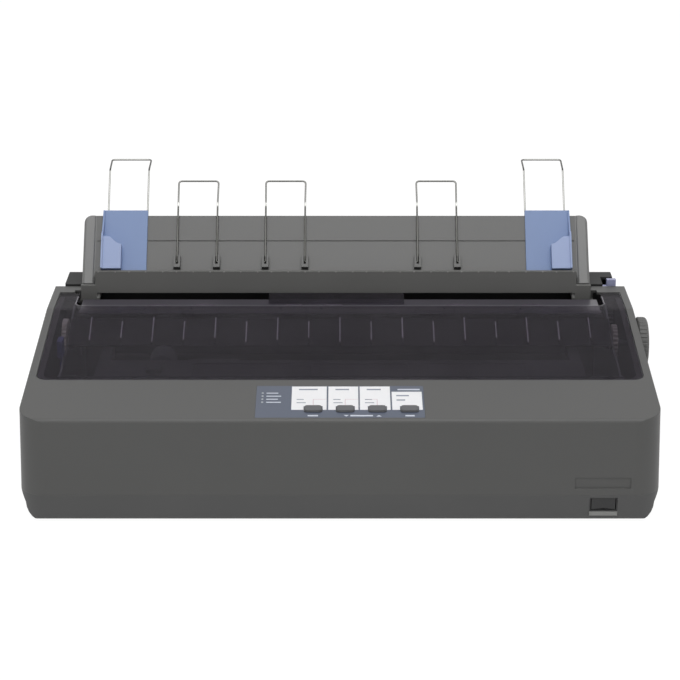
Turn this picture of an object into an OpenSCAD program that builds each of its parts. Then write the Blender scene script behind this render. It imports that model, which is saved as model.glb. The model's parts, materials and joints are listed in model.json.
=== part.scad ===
// Wide-carriage dot matrix printer.
// +X to the right, +Y to the rear, +Z up.  The table is at Z = 0.
// Places are worked out from the body's middle plane and front face, and seat() then
// moves every piece so that the origin lies under the middle of the whole printer.

/* [Casing] */
// Width of the casing across its side walls
body_w = 626; // [600:1:680]
// Depth of the casing from front wall to rear wall
case_d = 376; // [370:1:400]
// Height of the front edge of the top
front_z = 108; // [100:1:112]
// Height of the flat rear part of the top
deck_z = 138.6; // [134:0.2:150]
// Height of the joint between lower case and upper housing
part_z = 29; // [26:1:34]
// Height of the rubber feet below the lower case
foot_h = 2; // [2:0.5:8]
// Wall thickness of the mouldings
wall = 3; // [2:0.2:4]
// Plan radius of the two front corners
corner_r = 28; // [15:1:36]
// Plan radius of the two rear corners
rear_r = 12; // [6:1:20]
// How far the lower case draws in below the joint
taper = 6; // [2:0.5:8]
// Radius of the lower case's bottom edge along its sides
belly_r = 16; // [8:1:18]
// Draft of the housing's walls, in degrees
draft = 1.5; // [0.5:0.1:2]
// Distance from the cover's hinge axis forward to where the sloping top turns flat
kink_back = 49.5; // [44:0.5:60]

/* [Printer cover] */
// Width of the housing strip left beside the cover
strip_w = 9; // [7:0.5:12]
// Distance from the front wall to the front edge of the cover
cover_y = 84; // [82:1:90]
// Distance from the rear wall to the hinge axis of the cover
hinge_back = 84.5; // [83:0.5:86]
// Gap round the cover
cover_gap = 0.8; // [0.4:0.1:1]
// Thickness of the cover
cover_t = 2.4; // [1.8:0.1:3]
// Width of each hinge ear beside the paper exit
ear_w = 21; // [16:1:24]
// Front-to-back length of the paper exit notch in the cover
exit_l = 45; // [38:1:46]
// Radius of the cover's corners
cover_r = 10; // [4:1:14]
// Diameter of the cover's hinge pins
cover_pin_d = 4.4; // [3:0.1:5]

/* [Paper guide] */
// Lean of the paper guide back from upright, in degrees
lean = 38.5; // [34:0.5:46]
// Length of the paper guide panel up its slope, from its hinge axis
guide_l = 79.5; // [70:0.5:88]
// Thickness of the paper guide panel
guide_t = 2.4; // [1.8:0.1:3]
// Width of the channel-shaped post at each end of the guide
post_w = 13.5; // [11:0.5:16]
// Height of the band in front of the guide above the flat top
band_h = 24; // [20:0.5:28]
// Diameter of the guide's two hinge pins
guide_pin_d = 5; // [4:0.5:6]
// Width of a paper edge guide
edge_w = 49; // [40:1:54]
// Offset of the whole paper guide to the left of the middle plane
guide_shift = -4.5; // [-5:0.5:0]
// Distance from the left edge guide to the post beside it
edge_left_gap = 7.4; // [7:0.2:11]
// Distance from the right edge guide to the post beside it
edge_right_gap = 6.4; // [6:0.2:11]
// Height of the edge guide's blade above the panel
edge_rise = 5.5; // [4:0.5:10]
// Diameter of the support wire
wire_d = 2; // [1.6:0.1:2.6]
// Width of each wire loop between its legs
loop_w = 43.3; // [38:0.5:46]
// Reach of the low support loops up the slope
loop_l = 123; // [108:1:130]
// Length of the two edge guide loops up the slope to their bend
edge_loop_l = 137.5; // [125:0.5:145]
// Reach of the edge guide loops to the rear past their bend
edge_hook = 21.5; // [10:0.5:24]

/* [Paper feed] */
// Diameter of the rubber platen
platen_d = 26; // [22:1:28]
// Length of the rubber platen
platen_l = 464; // [440:2:470]
// Diameter of the platen shaft
platen_shaft_d = 8; // [6:0.5:10]
// Distance from the cover's hinge axis forward to the platen axis
platen_back = 63.5; // [62:0.5:65]
// Drop from the flat top to the platen axis
platen_drop = 33.6; // [33:0.2:36]
// Diameter of the hand knob
knob_d = 55; // [44:1:60]
// How far the knob stands out of the side wall
knob_proud = 13; // [10:0.5:18]
// Number of grip grooves round the knob
knob_grooves = 36; // [24:1:48]
// Module of the feed gears
gear_m = 1.5; // [1.4:0.05:1.55]
// Face width of the feed gears
gear_w = 5; // [4:0.5:7]
// Diameter of the paper exit rollers
exit_d = 14; // [12:0.5:15]
// Diameter of the exit roller shafts
exit_shaft_d = 5; // [4:0.5:6]

/* [Print carriage] */
// Diameter of the carriage shaft
rail_d = 10; // [8:0.5:12]
// Width of the print carriage
carriage_w = 60; // [50:1:70]
// Distance from the left side frame to the middle of the carriage at rest
carriage_home = 101; // [96:1:136]
// Pitch diameter of the belt pulleys
pulley_d = 16; // [13:0.5:20]
// Height of the timing belt
belt_h = 6; // [4:0.5:8]

/* [Controls] */
// Width of the control label
label_w = 165; // [150:1:180]
// Length of the control label down the slope
label_l = 64; // [58:1:66]
// Width of each push button
button_w = 17.6; // [14:0.2:20]
// Length of each push button down the slope
button_l = 12; // [9:0.5:14]
// Distance between push buttons
button_pitch = 31.4; // [28:0.2:34]
// Travel of a push button
button_travel = 1.2; // [0.6:0.1:1.8]
// Width of the power switch opening
switch_w = 27.5; // [24:0.5:32]
// Height of the power switch opening
switch_h = 14.5; // [12:0.5:18]

/* [Hidden] */

$fn = 48;
e = 1;                                   // how far a cut runs past the face it opens
run = 0.05;                              // radial clearance of a shaft in its bore
gap = 0.4;                               // clearance round a loose moulding
seat_gap = 0.1;                          // clearance under a piece that rests on another
half_w = body_w / 2;                     // half width where the top begins
hinge_y = case_d - hinge_back;
kink_y = hinge_y - kink_back;
platen_y = hinge_y - platen_back;
slope = atan((deck_z - front_z) / (kink_y - 3));
strip_y = hinge_y + 26.5;                // rear end of the side strips
ledge_z = deck_z - 22.6;                 // height of the ledge that carries the rear cover
rear_inset = 11;                         // how far the rear cover lies inside the side walls
rear_x = half_w - rear_inset;
cover_x = half_w - strip_w;
exit_x = cover_x - ear_w;
barrel_r = 4.6;                          // radius of the cover's hinge barrel
hinge_z = deck_z - barrel_r;
bed_y = hinge_y + barrel_r + 0.3;        // rear end of the opening for the cover
rest_w = 6;                              // width of the rebate that carries the cover
opening_x = cover_x - rest_w;

function top_z(y) = y < kink_y ? deck_z - (kink_y - y) * tan(slope) : deck_z;
// How far the drafted walls have come in at height z
function inset(z) = (z - part_z) * tan(draft);
seam_w = half_w + inset(front_z);        // half width at the joint of the two mouldings

// ---- placing helpers

module seat() {
    translate([(seam_w - half_w - knob_proud) / 2, -overall_d / 2, 0]) children();
}

module block(x0, x1, y0, y1, z0, z1) {
    translate([x0, y0, z0]) cube([x1 - x0, y1 - y0, z1 - z0]);
}

module rod_x(d, x0, x1, y, z) {
    translate([x0, y, z]) rotate([0, 90, 0]) cylinder(d = d, h = x1 - x0);
}

module both() {
    children();
    mirror([1, 0, 0]) children();
}

// A profile drawn with its first coordinate to the rear and its second up, run along X
module along_x(x0, x1) {
    translate([x0, 0, 0]) rotate([90, 0, 90]) linear_extrude(x1 - x0) children();
}

// A shape drawn on the sloping part of the top: x across, y up the slope, z out of it
module on_slope() {
    translate([0, 3, front_z]) rotate([slope, 0, 0]) children();
}

// Rectangle with its own radius at the front and at the rear corners
module rounded_plan(x, y0, y1, rf, rr) {
    polygon([
        [-x + rf, y0], [x - rf, y0], [x, y0 + rf], [x, y1 - rr],
        [x - rr, y1], [-x + rr, y1], [-x, y1 - rr], [-x, y0 + rf]
    ]);
    for (s = [-1, 1]) {
        translate([s * (x - rf), y0 + rf]) circle(rf);
        translate([s * (x - rr), y1 - rr]) circle(rr);
    }
}

module rounded_rect(x0, x1, y0, y1, r) {
    translate([(x0 + x1) / 2, 0]) rounded_plan((x1 - x0) / 2, y0, y1, r, r);
}

function arc(c, r, a0, a1, n = 5) = [
    for (i = [0:n]) c + r * [cos(a0 + (a1 - a0) * i / n), sin(a0 + (a1 - a0) * i / n)]
];

// ---- casing

floor_z = foot_h + wall;                 // inside floor of the lower case
chassis_z = floor_z + 5;                 // underside of the chassis on its bosses
front_taper = taper / 4;
boss_d = 9;
screw_d = 3;
head_d = 5.6;
foot_d = 22;
foot_x = half_w - 40;
foot_ys = [36, case_d - 34];
chassis_x = half_w - 24;
chassis_y0 = 62;
chassis_y1 = strip_y + 34;
chassis_bosses = [for (x = [-1, 1], y = [chassis_y0 + 12, chassis_y1 - 12]) [x * (chassis_x - 12), y]];
case_boss_d = 8;
case_bosses = [for (x = [-1, 1], y = [40, case_d - 30]) [x * (half_w - belly_r), y]];
case_boss_h = 40;                        // height of the housing's bosses over the joint
board_z = floor_z + 8;                   // underside of the circuit boards on their bosses
board_y0 = strip_y - 62;
board_y1 = case_d - wall - 8;
main_x = [10, half_w - 42];              // ends of the main board
supply_x = [-half_w + 42, -60];          // ends of the power supply board
function board_bosses(ends) =
    [for (x = [ends[0] + 6, ends[1] - 6], y = [board_y0 + 6, board_y1 - 6]) [x, y]];
inlet_x = -200;
inlet_w = 27;
inlet_h = 19.5;
inlet_z = board_z + 16;
port_xs = [60, 140, 200];                // middles of the three interface connectors
port_ws = [62, 34, 14];
port_h = 13;
port_z = board_z + 2;
switch_x = half_w - 55;
switch_z = part_z - 9.5;
switch_depth = 16;

module lower_case_form(t) {
    // t is how far the surface lies inside the outer one
    base = foot_h + t;
    r = max(5 - t, 2);
    side_r = belly_r - t;
    intersection() {
        along_x(-seam_w, seam_w) polygon(concat(
            [[t, part_z + (t > 0 ? e : 0)]],
            arc([front_taper + t + r, base + r], r, 180, 270),
            arc([case_d - front_taper - t - r, base + r], r, 270, 360),
            [[case_d - t, part_z + (t > 0 ? e : 0)]]
        ));
        translate([0, case_d + e, 0]) rotate([90, 0, 0]) linear_extrude(case_d + 2 * e) polygon(concat(
            [[-seam_w + t, part_z + (t > 0 ? e : 0)]],
            arc([-seam_w + taper + t + side_r, base + side_r], side_r, 180, 270),
            arc([seam_w - taper - t - side_r, base + side_r], side_r, 270, 360),
            [[seam_w - t, part_z + (t > 0 ? e : 0)]]
        ));
        linear_extrude(part_z + 2 * e)
            rounded_plan(seam_w - t, t, case_d - t, corner_r - t, rear_r - t);
    }
}

module boss(p, z0, z1, d = boss_d) {
    translate([p[0], p[1], z0]) cylinder(d = d, h = z1 - z0);
}

module rear_openings() {
    y0 = case_d - wall - front_taper - e;
    y1 = case_d + e;
    block(inlet_x - inlet_w / 2, inlet_x + inlet_w / 2, y0, y1, inlet_z, inlet_z + inlet_h);
    for (i = [0:2])
        block(port_xs[i] - port_ws[i] / 2, port_xs[i] + port_ws[i] / 2, y0, y1, port_z, port_z + port_h);
}

module lower_case() {
    color("#4c4c4c") seat() {
        difference() {
            union() {
                difference() {
                    lower_case_form(0);
                    lower_case_form(wall);
                }
                for (p = chassis_bosses) boss(p, floor_z - e, chassis_z);
                for (p = concat(board_bosses(main_x), board_bosses(supply_x)))
                    boss(p, floor_z - e, board_z, 7);
                for (p = case_bosses) boss(p, floor_z - e, part_z, case_boss_d);
            }
            for (p = chassis_bosses) boss(p, floor_z, part_z + e, screw_d - 0.4);
            for (p = case_bosses) {
                boss(p, foot_h - e, part_z + e, screw_d);
                boss(p, foot_h - e, floor_z, head_d + 1);
            }
            for (p = concat(board_bosses(main_x), board_bosses(supply_x)))
                boss(p, floor_z, part_z + e, screw_d - 0.4);
            for (x = [-foot_x, foot_x], y = foot_ys)
                translate([x, y, foot_h - e]) cylinder(d = foot_d + 2 * run, h = 1 + e);
            // pocket for the power switch
            block(switch_x - switch_w / 2, switch_x + switch_w / 2, -e, wall + front_taper + e,
                switch_z - switch_h / 2, switch_z + switch_h / 2);
            // louvres under the power supply
            for (i = [0:9]) block(supply_x[0] + 20 + 12 * i, supply_x[0] + 24 + 12 * i,
                board_y0 + 20, board_y1 - 30, foot_h - e, floor_z + e);
            rear_openings();
        }
    }
}

module rubber_feet() {
    color("#202020") seat() for (x = [-foot_x, foot_x], y = foot_ys) translate([x, y, 0]) {
        cylinder(d1 = foot_d - 3, d2 = foot_d, h = 1.5);
        translate([0, 0, 1.5]) cylinder(d = foot_d, h = foot_h + 1 - 1.5);
    }
}

edge_r = 4;                              // radius of the housing's front and rear top edges
front_edge = inset(front_z) + edge_r;
rear_edge = case_d - inset(ledge_z) - edge_r;

// Outline of the upper housing's top from the side, t inside the outer surface
function housing_profile(t) = concat(
    [[-e, part_z - e], [-e, front_z - 13]],
    arc([front_edge, top_z(front_edge) - edge_r / cos(slope)], max(edge_r - t, 0.6), 162, 90 + slope),
    [[kink_y, deck_z - t], [strip_y - t - 1.2, deck_z - t], [strip_y - t, deck_z - t - 1.2],
     [strip_y - t, ledge_z - t]],
    arc([rear_edge, ledge_z - edge_r], max(edge_r - t, 0.6), 90, 18),
    [[case_d + e, ledge_z - 13], [case_d + e, part_z - e]]
);

// Walls of the upper housing, drafted on all four sides, t inside the outer surface
module drafted_walls(t, z0, z1) {
    x = seam_w - t;
    y0 = t;
    y1 = case_d - t;
    rf = corner_r - t;
    rr = rear_r - t;
    a = inset(z0);
    b = inset(z1);
    mid = case_d / 2;
    along_x(-x + rf, x - rf) polygon([[y0 + a, z0], [mid, z0], [mid, z1], [y0 + b, z1]]);
    along_x(-x + rr, x - rr) polygon([[mid, z0], [y1 - a, z0], [y1 - b, z1], [mid, z1]]);
    translate([0, y1 - rr, 0]) rotate([90, 0, 0]) linear_extrude(y1 - rr - y0 - rf)
        polygon([[-x + a, z0], [x - a, z0], [x - b, z1], [-x + b, z1]]);
    both() {
        translate([x - rf, y0 + rf, z0]) cylinder(r1 = rf - a, r2 = rf - b, h = z1 - z0);
        translate([x - rr, y1 - rr, z0]) cylinder(r1 = rr - a, r2 = rr - b, h = z1 - z0);
    }
}

module housing_form(t) {
    intersection() {
        along_x(-seam_w, seam_w) polygon(housing_profile(t));
        drafted_walls(t, part_z - (t > 0 ? 0.5 : 0), deck_z + e);
    }
}

// Layer of the top between depths d0 and d1, from y0 to y1
module top_layer(x, d0, d1, y0, y1) {
    along_x(-x, x) polygon([
        [y0, top_z(y0) - d1], [kink_y, deck_z - d1], [y1, deck_z - d1],
        [y1, deck_z - d0], [kink_y, deck_z - d0], [y0, top_z(y0) - d0]
    ]);
}

base_x = exit_x - 5.5;                   // half width of the guide's base
shelf_z = deck_z - 9;                    // shelf that carries the guide's base
platen_z = deck_z - platen_drop;
label_y = 4;                             // front edge of the label, up the slope
button_y = label_y + 16.6;
button_x = -label_w / 2 + 56.2;          // middle of the first button
label_t = 0.5;
plate_x = [half_w - 83.5, half_w - 29];  // ends of the blank name recess
plate_z = [part_z + 7.5, part_z + 18.7];
plate_depth = 1.4;
slot_x = 225;                            // half width of the rear paper entry
slot_z = ledge_z - 11;
lever_x = [half_w - 19.5, half_w - 9.5]; // ends of the release lever's finger tab
lever_arm_x = [half_w - 24.5, rear_x - wall - 0.4];  // sides of the slot that its arm moves in
lever_slot_y = [strip_y + 1, strip_y + 25];

function button_at(i) = button_x + i * button_pitch;

module button_holes(clear, z0, z1) {
    on_slope() for (i = [0:3]) translate([0, 0, z0]) linear_extrude(z1 - z0) rounded_rect(
        button_at(i) - button_w / 2 - clear, button_at(i) + button_w / 2 + clear,
        button_y - button_l / 2 - clear, button_y + button_l / 2 + clear, 3 + clear);
}

module upper_housing() {
    color("#626261") seat() difference() {
        union() {
            difference() {
                housing_form(0);
                housing_form(wall);
                // window under the cover
                translate([0, 0, part_z]) linear_extrude(deck_z)
                    rounded_plan(opening_x, cover_y + rest_w, bed_y, cover_r, 1);
                // bed for the guide's base and the sheet slot
                translate([guide_shift, 0, 0])
                    block(-base_x - gap, base_x + gap, bed_y - e, strip_y + e, slot_z, deck_z + e);
                // space under the rear cover
                block(6 - rear_x, rear_x - 6, strip_y + 1, case_d - wall - 8,
                    ledge_z - wall - e, ledge_z + e);
            }
            // hinge bosses inside the side strips
            both() block(cover_x + cover_gap, half_w - 1.2, hinge_y - 7, bed_y + 2, hinge_z - 8, deck_z - 1);
            // brackets that carry the guide's base
            translate([guide_shift, 0, 0]) both() {
                block(base_x + gap, base_x + gap + wall, bed_y, strip_y - 1, shelf_z - wall, deck_z - 1);
                block(base_x - 16, base_x + gap + e, bed_y, strip_y - 1, shelf_z - wall, shelf_z);
            }
            for (p = case_bosses) {
                boss(p, part_z, part_z + case_boss_h, case_boss_d);
                // web from the boss to the side wall
                block(min(p[0], sign(p[0]) * half_w), max(p[0], sign(p[0]) * half_w),
                    p[1] - 1, p[1] + 1, part_z, part_z + case_boss_h);
            }
            // bosses that carry the panel's board
            on_slope() for (p = panel_bosses) boss(p, panel_board_z + 0.1, -wall + 0.4, 7);
        }
        // rebate that the cover lies in
        intersection() {
            top_layer(half_w, -10, cover_t + seat_gap, cover_y - 5, bed_y);
            translate([0, 0, part_z]) linear_extrude(2 * deck_z)
                rounded_plan(cover_x + cover_gap, cover_y - cover_gap, bed_y, cover_r + cover_gap, 1);
        }
        both() {
            // room for the hinge barrels and their pins
            block(opening_x - 1, cover_x + cover_gap, hinge_y - 7, bed_y, hinge_z - 7, deck_z + e);
            rod_x(cover_pin_d + 2 * run, cover_x, cover_x + 5.5, hinge_y, hinge_z);
        }
        // open gaps between the hinge ears and the guide's base
        translate([guide_shift, 0, 0]) both()
            block(base_x, base_x + 7, bed_y - e, bed_y + 7, shelf_z, deck_z + e);
        // paper entry at the rear
        block(-slot_x, slot_x, case_d - wall - 9, case_d + e, slot_z, ledge_z + e);
        rear_openings();
        // platen shaft
        rod_x(platen_shaft_d + 3, half_w - wall - e, seam_w + e, platen_y, platen_z);
        // control label, buttons and blank name recess
        on_slope()
            block(-label_w / 2 - 0.1, label_w / 2 + 0.1, label_y - 0.1, label_y + label_l + 0.1, -label_t, 5);
        button_holes(0.35, -wall - 3, e);
        block(plate_x[0], plate_x[1], -e, plate_depth, plate_z[0], plate_z[1]);
        // slot for the release lever
        block(lever_arm_x[0], lever_arm_x[1], lever_slot_y[0], lever_slot_y[1],
            ledge_z - wall - e, ledge_z + e);
        for (p = case_bosses) boss(p, part_z - e, part_z + 20, screw_d - 0.4);
        on_slope() for (p = panel_bosses) boss(p, panel_board_z - e, -wall, screw_d - 0.4);
        // cooling slots in the rear wall
        for (i = [0:11]) block(-150 + 11 * i, -145 + 11 * i, case_d - wall - 4, case_d + e, 62, 92);
    }
}

module cover_plan() {
    difference() {
        rounded_plan(cover_x, cover_y, hinge_y, cover_r, 0.5);
        rounded_plan(exit_x, hinge_y + barrel_r - exit_l, hinge_y + 2 * exit_l, 6, 6);
    }
}

module printer_cover() {
    color("#34323a", 0.8) seat() {
        intersection() {
            top_layer(cover_x, 0, cover_t, cover_y, hinge_y);
            linear_extrude(2 * deck_z) cover_plan();
        }
        both() rod_x(2 * barrel_r, exit_x, cover_x, hinge_y, hinge_z);
        // stiffening rib behind the front edge
        intersection() {
            top_layer(opening_x, cover_t - 0.5, cover_t + 5, cover_y, hinge_y);
            block(-opening_x + 14, opening_x - 14, cover_y + rest_w + 3, cover_y + rest_w + 5.4, 0, deck_z);
        }
        both() rod_x(cover_pin_d, cover_x - e, cover_x + 4.4, hinge_y, hinge_z);
        // finger tabs at the front edge
        both() intersection() {
            top_layer(cover_x, -1, 1, cover_y + 1, hinge_y);
            block(exit_x - 19, exit_x - 9, cover_y + 1, cover_y + 6, 0, 2 * deck_z);
        }
    }
}

rear_y1 = rear_edge;                     // rear wall of the rear cover
rear_top = deck_z + 1.9;

module rear_cover_profile(t) {
    polygon(concat(
        [[strip_y + 0.3 + t, ledge_z + seat_gap - (t > 0 ? e : 0)], [strip_y + 0.3 + t, rear_top - t]],
        arc([rear_y1 - 10, rear_top - 10], 10 - t, 90, 0),
        [[rear_y1 - t, ledge_z + seat_gap - (t > 0 ? e : 0)]]
    ));
}

module rear_cover() {
    color("#404040") seat() difference() {
        intersection() {
            along_x(-rear_x, rear_x) rear_cover_profile(0);
            linear_extrude(2 * deck_z) rounded_plan(rear_x, strip_y, rear_y1, 2, 6);
        }
        along_x(-rear_x + wall, rear_x - wall) rear_cover_profile(wall);
        // sheets come down in front; fanfold paper comes in behind
        translate([guide_shift, 0, 0])
            block(-base_x - gap, base_x + gap, strip_y - e, strip_y + wall + 1, 0, deck_z - 19);
        block(-slot_x, slot_x, rear_y1 - wall - e, rear_y1 + e, 0, ledge_z + 7);
        block(lever_arm_x[0], half_w, strip_y, lever_slot_y[1], deck_z - 8, rear_top + e);
    }
}

// ---- sheet guide, its edge guides and wire loops

band_x = base_x - 16;
band_z0 = deck_z - 0.9;                  // lower edge of the band between the two ends
base_y1 = strip_y - 1.4;
base_z0 = shelf_z + seat_gap;
post_r = 8;                              // radius of the guide's rounded lower end
pivot_y = bed_y + wall + post_r + 0.6;
pivot_z = deck_z + 2.9;
guide_x = base_x - 0.6;                  // half width of the paper guide
panel_x = guide_x - post_w;
panel_y = -post_r - 0.5;                 // front face of the panel, from the hinge axis
cheek_x = [panel_x - 6, panel_x - 0.5];
crease = 49;                             // where the panel is creased across

// A shape drawn on the paper guide: x across, z up its slope, y to the rear, from its axis
module on_guide() {
    translate([guide_shift, pivot_y, pivot_z]) rotate([-lean, 0, 0]) children();
}

module guide_base() {
    color("#50504e") seat() translate([guide_shift, 0, 0]) difference() {
        union() {
            block(-band_x, band_x, bed_y, bed_y + wall, band_z0, deck_z + band_h);
            // lip along the top of the band
            block(-band_x, band_x, bed_y, bed_y + wall + 0.8, deck_z + band_h - 1.6, deck_z + band_h);
            both() {
                block(band_x - e, base_x, bed_y, bed_y + wall, base_z0, deck_z + 8);
                block(cheek_x[0], base_x, bed_y, base_y1, base_z0, base_z0 + wall);
                hull() {
                    rod_x(12, cheek_x[0], cheek_x[1], pivot_y, pivot_z);
                    block(cheek_x[0], cheek_x[1], bed_y + e, pivot_y + 6, base_z0, base_z0 + wall);
                }
            }
            // ribs that stiffen the band behind
            for (i = [-6:6])
                block(38 * i - 0.8, 38 * i + 0.8, bed_y + e, bed_y + wall + 2, band_z0, deck_z + 2);
        }
        both() rod_x(guide_pin_d + 2 * run, cheek_x[0] - e, cheek_x[1] + e, pivot_y, pivot_z);
    }
}

clip_z = [17, 31];                       // ends of the wire clips up the slope
clip_w = 7.6;
clip_t = 6;
wire_y = panel_y - clip_t / 2;           // middle of the support wires
wire_z = 24;                             // pivot of the support wires
wire_slot = wire_d + 0.5;
loop_xs = [-152, -55.5, 111];            // middles of the three support loops

module wire_clip(x, side) {
    // side is +1 where the foot of the wire turns to the right
    difference() {
        block(x - clip_w / 2, x + clip_w / 2, panel_y - clip_t, panel_y + 0.5, clip_z[0], clip_z[1]);
        block(x - wire_slot / 2, x + wire_slot / 2, panel_y - clip_t - e, panel_y,
            clip_z[0] + 4, clip_z[1] + e);
        rod_x(wire_d + 2 * run, min(x, x + side * clip_w), max(x, x + side * clip_w), wire_y, wire_z);
    }
}

module paper_guide() {
    color("#747472") seat() on_guide() {
        difference() {
            union() {
                block(-panel_x - e, panel_x + e, panel_y, panel_y + guide_t, 7, guide_l);
                both() difference() {
                    union() {
                        rod_x(2 * post_r, panel_x, guide_x, 0, 0);
                        translate([panel_x, 0, 0]) intersection() {
                            translate([post_w / 2, 0, 0]) linear_extrude(guide_l)
                                rounded_plan(post_w / 2, panel_y - 1, 4.5, 3, 1);
                            translate([0, 10, 0]) rotate([90, 0, 0]) linear_extrude(30) {
                                square([post_w - 9, guide_l]);
                                square([post_w, guide_l - 9]);
                                translate([post_w - 9, guide_l - 9]) circle(9);
                            }
                        }
                    }
                    // hollow back of the post
                    block(panel_x + 2, guide_x - 2, panel_y + 2.5, 5, 11, guide_l - 4);
                }
                // ribs behind the panel
                for (i = [-5:5])
                    block(46 * i - 0.8, 46 * i + 0.8, panel_y + 1, panel_y + guide_t + 2, 12, 60);
            }
            // crease across the panel
            block(-panel_x + 2, panel_x - 2, panel_y - e, panel_y + 0.7, crease, crease + 1.2);
            both() block(cheek_x[0] - 2, panel_x, panel_y - e, panel_y + guide_t + e, 0, 11);
        }
        both() rod_x(guide_pin_d, cheek_x[0] + 1, panel_x + 1, 0, 0);
        for (x = loop_xs) {
            wire_clip(x - loop_w / 2, -1);
            wire_clip(x + loop_w / 2, 1);
        }
    }
}

// Round wire between two points (x, y, z)
module wire(p, q, d = wire_d) {
    v = q - p;
    translate(p) rotate([0, acos(v[2] / norm(v)), atan2(v[1], v[0])]) cylinder(d = d, h = norm(v), $fn = 24);
}

elbow_d = wire_d + 0.06;                 // diameter of a wire's bends

module bent_wire(points) {
    for (i = [0:len(points) - 2]) wire(points[i], points[i + 1]);
    for (i = [1:len(points) - 2]) translate(points[i]) sphere(d = elbow_d, $fn = 24);
}

// A loop of wire: two legs from y, z0 up the slope, bent back at the bend by the given reach
// to the rear and up, and closed at the top, each leg ending in a foot turned outwards
module wire_loop(x, y, z0, bend, reach, foot) {
    l = x - loop_w / 2;
    r = x + loop_w / 2;
    yt = y + reach[0];
    zt = bend + reach[1];
    u = 4 / reach[1];
    bent_wire([
        [l - foot, y, z0], [l, y, z0], [l, y, bend],
        [l - 1, yt - u * reach[0], zt - 4], [l + 4, yt, zt], [r - 4, yt, zt],
        [r + 1, yt - u * reach[0], zt - 4], [r, y, bend], [r, y, z0], [r + foot, y, z0]
    ]);
}

loop_bend = 29;                          // length of a support loop beyond its bend
loop_reach = [0.22, 1] * (loop_bend - wire_d / 2);
foot_l = clip_w / 2 - 0.5;

module support_wire(i) {
    color("#8a8a86") seat() on_guide()
        wire_loop(loop_xs[i], wire_y, wire_z, loop_l - loop_bend, loop_reach, foot_l);
}

module support_wire_left() { support_wire(0); }
module support_wire_middle() { support_wire(1); }
module support_wire_right() { support_wire(2); }

blade_t = 2;
blade_y = panel_y - 0.15;                // back face of the edge guide's blade
edge_z0 = 13;
edge_top = guide_l + edge_rise;
jaw_y = panel_y + guide_t + 0.2;
jaw_t = 2;
edge_wire_y = jaw_y + jaw_t + 3;         // middle of the edge guide's wires
edge_wire_z = edge_top - 7;
edge_left_x = panel_x - edge_w - edge_left_gap;    // inner sides of the edge guides
edge_right_x = panel_x - edge_w - edge_right_gap;
edge_leg_x = 1.2;                        // inner leg of the wire, from the guide's inner side
edge_boss_xs = [edge_leg_x + 1.6, edge_leg_x + loop_w - 6.6];
edge_reach = [edge_hook, edge_hook];     // of a loop past its bend, to the rear and up
overall_d = pivot_y + (edge_loop_l + edge_reach[1]) * sin(lean)
    + (edge_wire_y + edge_reach[0]) * cos(lean) + elbow_d / 2;
grip_w = 22;                             // width of the raised grip
grip_z = [edge_z0 + 28.4, edge_z0 + 39.7];         // its height at the inner and the outer side

// Edge guide for the right side; x = 0 is its inner side and the fence stands on the outer half
module edge_guide() {
    difference() {
        union() {
            block(0, edge_w, blade_y - blade_t, blade_y, edge_z0, edge_top);
            block(0, edge_w, blade_y - blade_t, jaw_y + jaw_t, guide_l + 0.4, edge_top);
            block(0, edge_w, jaw_y, jaw_y + jaw_t, guide_l - 14, edge_top);
            // raised grip on the outer half, its shoulder falling to the inner side in an S
            intersection() {
                along_x(edge_w - grip_w, edge_w - 1.5) polygon(concat(
                    [[blade_y - 1, edge_z0], [blade_y - 13, edge_z0], [blade_y - 13, grip_z[1] - 7]],
                    arc([blade_y - 10, grip_z[1] - 4], 3, 180, 110),
                    [[blade_y - 1.8, grip_z[1] + 2], [blade_y - 1, grip_z[1] + 2]]
                ));
                translate([0, blade_y, 0]) rotate([90, 0, 0]) linear_extrude(20) polygon(concat(
                    [[edge_w, edge_z0 - e], [edge_w - grip_w - e, edge_z0 - e]],
                    [for (i = [0:8]) [edge_w - grip_w + (grip_w - 3) * i / 8,
                        grip_z[0] + (grip_z[1] - grip_z[0]) * (1 - cos(180 * i / 8)) / 2]],
                    [[edge_w, grip_z[1]]]
                ));
            }
            // fence that the edge of the sheet runs along
            along_x(edge_w - 1.8, edge_w) polygon(concat(
                [[blade_y - 1, edge_z0], [blade_y - 15, edge_z0]],
                arc([blade_y - 9, edge_z0 + 38], 6, 180, 100),
                [[blade_y - 2.4, edge_top], [blade_y - 1, edge_top]]
            ));
            // bosses that hold the wire
            for (x = edge_boss_xs)
                block(x, x + 5, jaw_y + 1, edge_wire_y + 2.4, edge_wire_z - 3, edge_wire_z + 3);
        }
        for (x = edge_boss_xs) rod_x(wire_d + 2 * run, x - e, x + 5 + e, edge_wire_y, edge_wire_z);
    }
}

module edge_guide_right() {
    color("#7d91b9") seat() on_guide() translate([edge_right_x, 0, 0]) edge_guide();
}

module edge_guide_left() {
    color("#7d91b9") seat() on_guide() mirror([1, 0, 0]) translate([edge_left_x, 0, 0]) edge_guide();
}

module edge_wire() {
    wire_loop(edge_leg_x + loop_w / 2, edge_wire_y, edge_wire_z, edge_loop_l, edge_reach, -5.6);
}

module edge_wire_right() {
    color("#8a8a86") seat() on_guide() translate([edge_right_x, 0, 0]) edge_wire();
}

module edge_wire_left() {
    color("#8a8a86") seat() on_guide() mirror([1, 0, 0]) translate([edge_left_x, 0, 0]) edge_wire();
}

tear_x = [-77, 69];

module tear_off_bar() {
    // seated under the lower edge of the band, with a thin front edge to tear against
    z = band_z0 - seat_gap;
    color("#8c8890", 0.6) seat() along_x(tear_x[0], tear_x[1]) polygon([
        [bed_y - 29, z - 2.2], [bed_y + wall, z - 1.6], [bed_y + wall, z], [bed_y - 3, z],
        [bed_y - 29, z - 1.6]
    ]);
}

// ---- control panel

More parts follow.
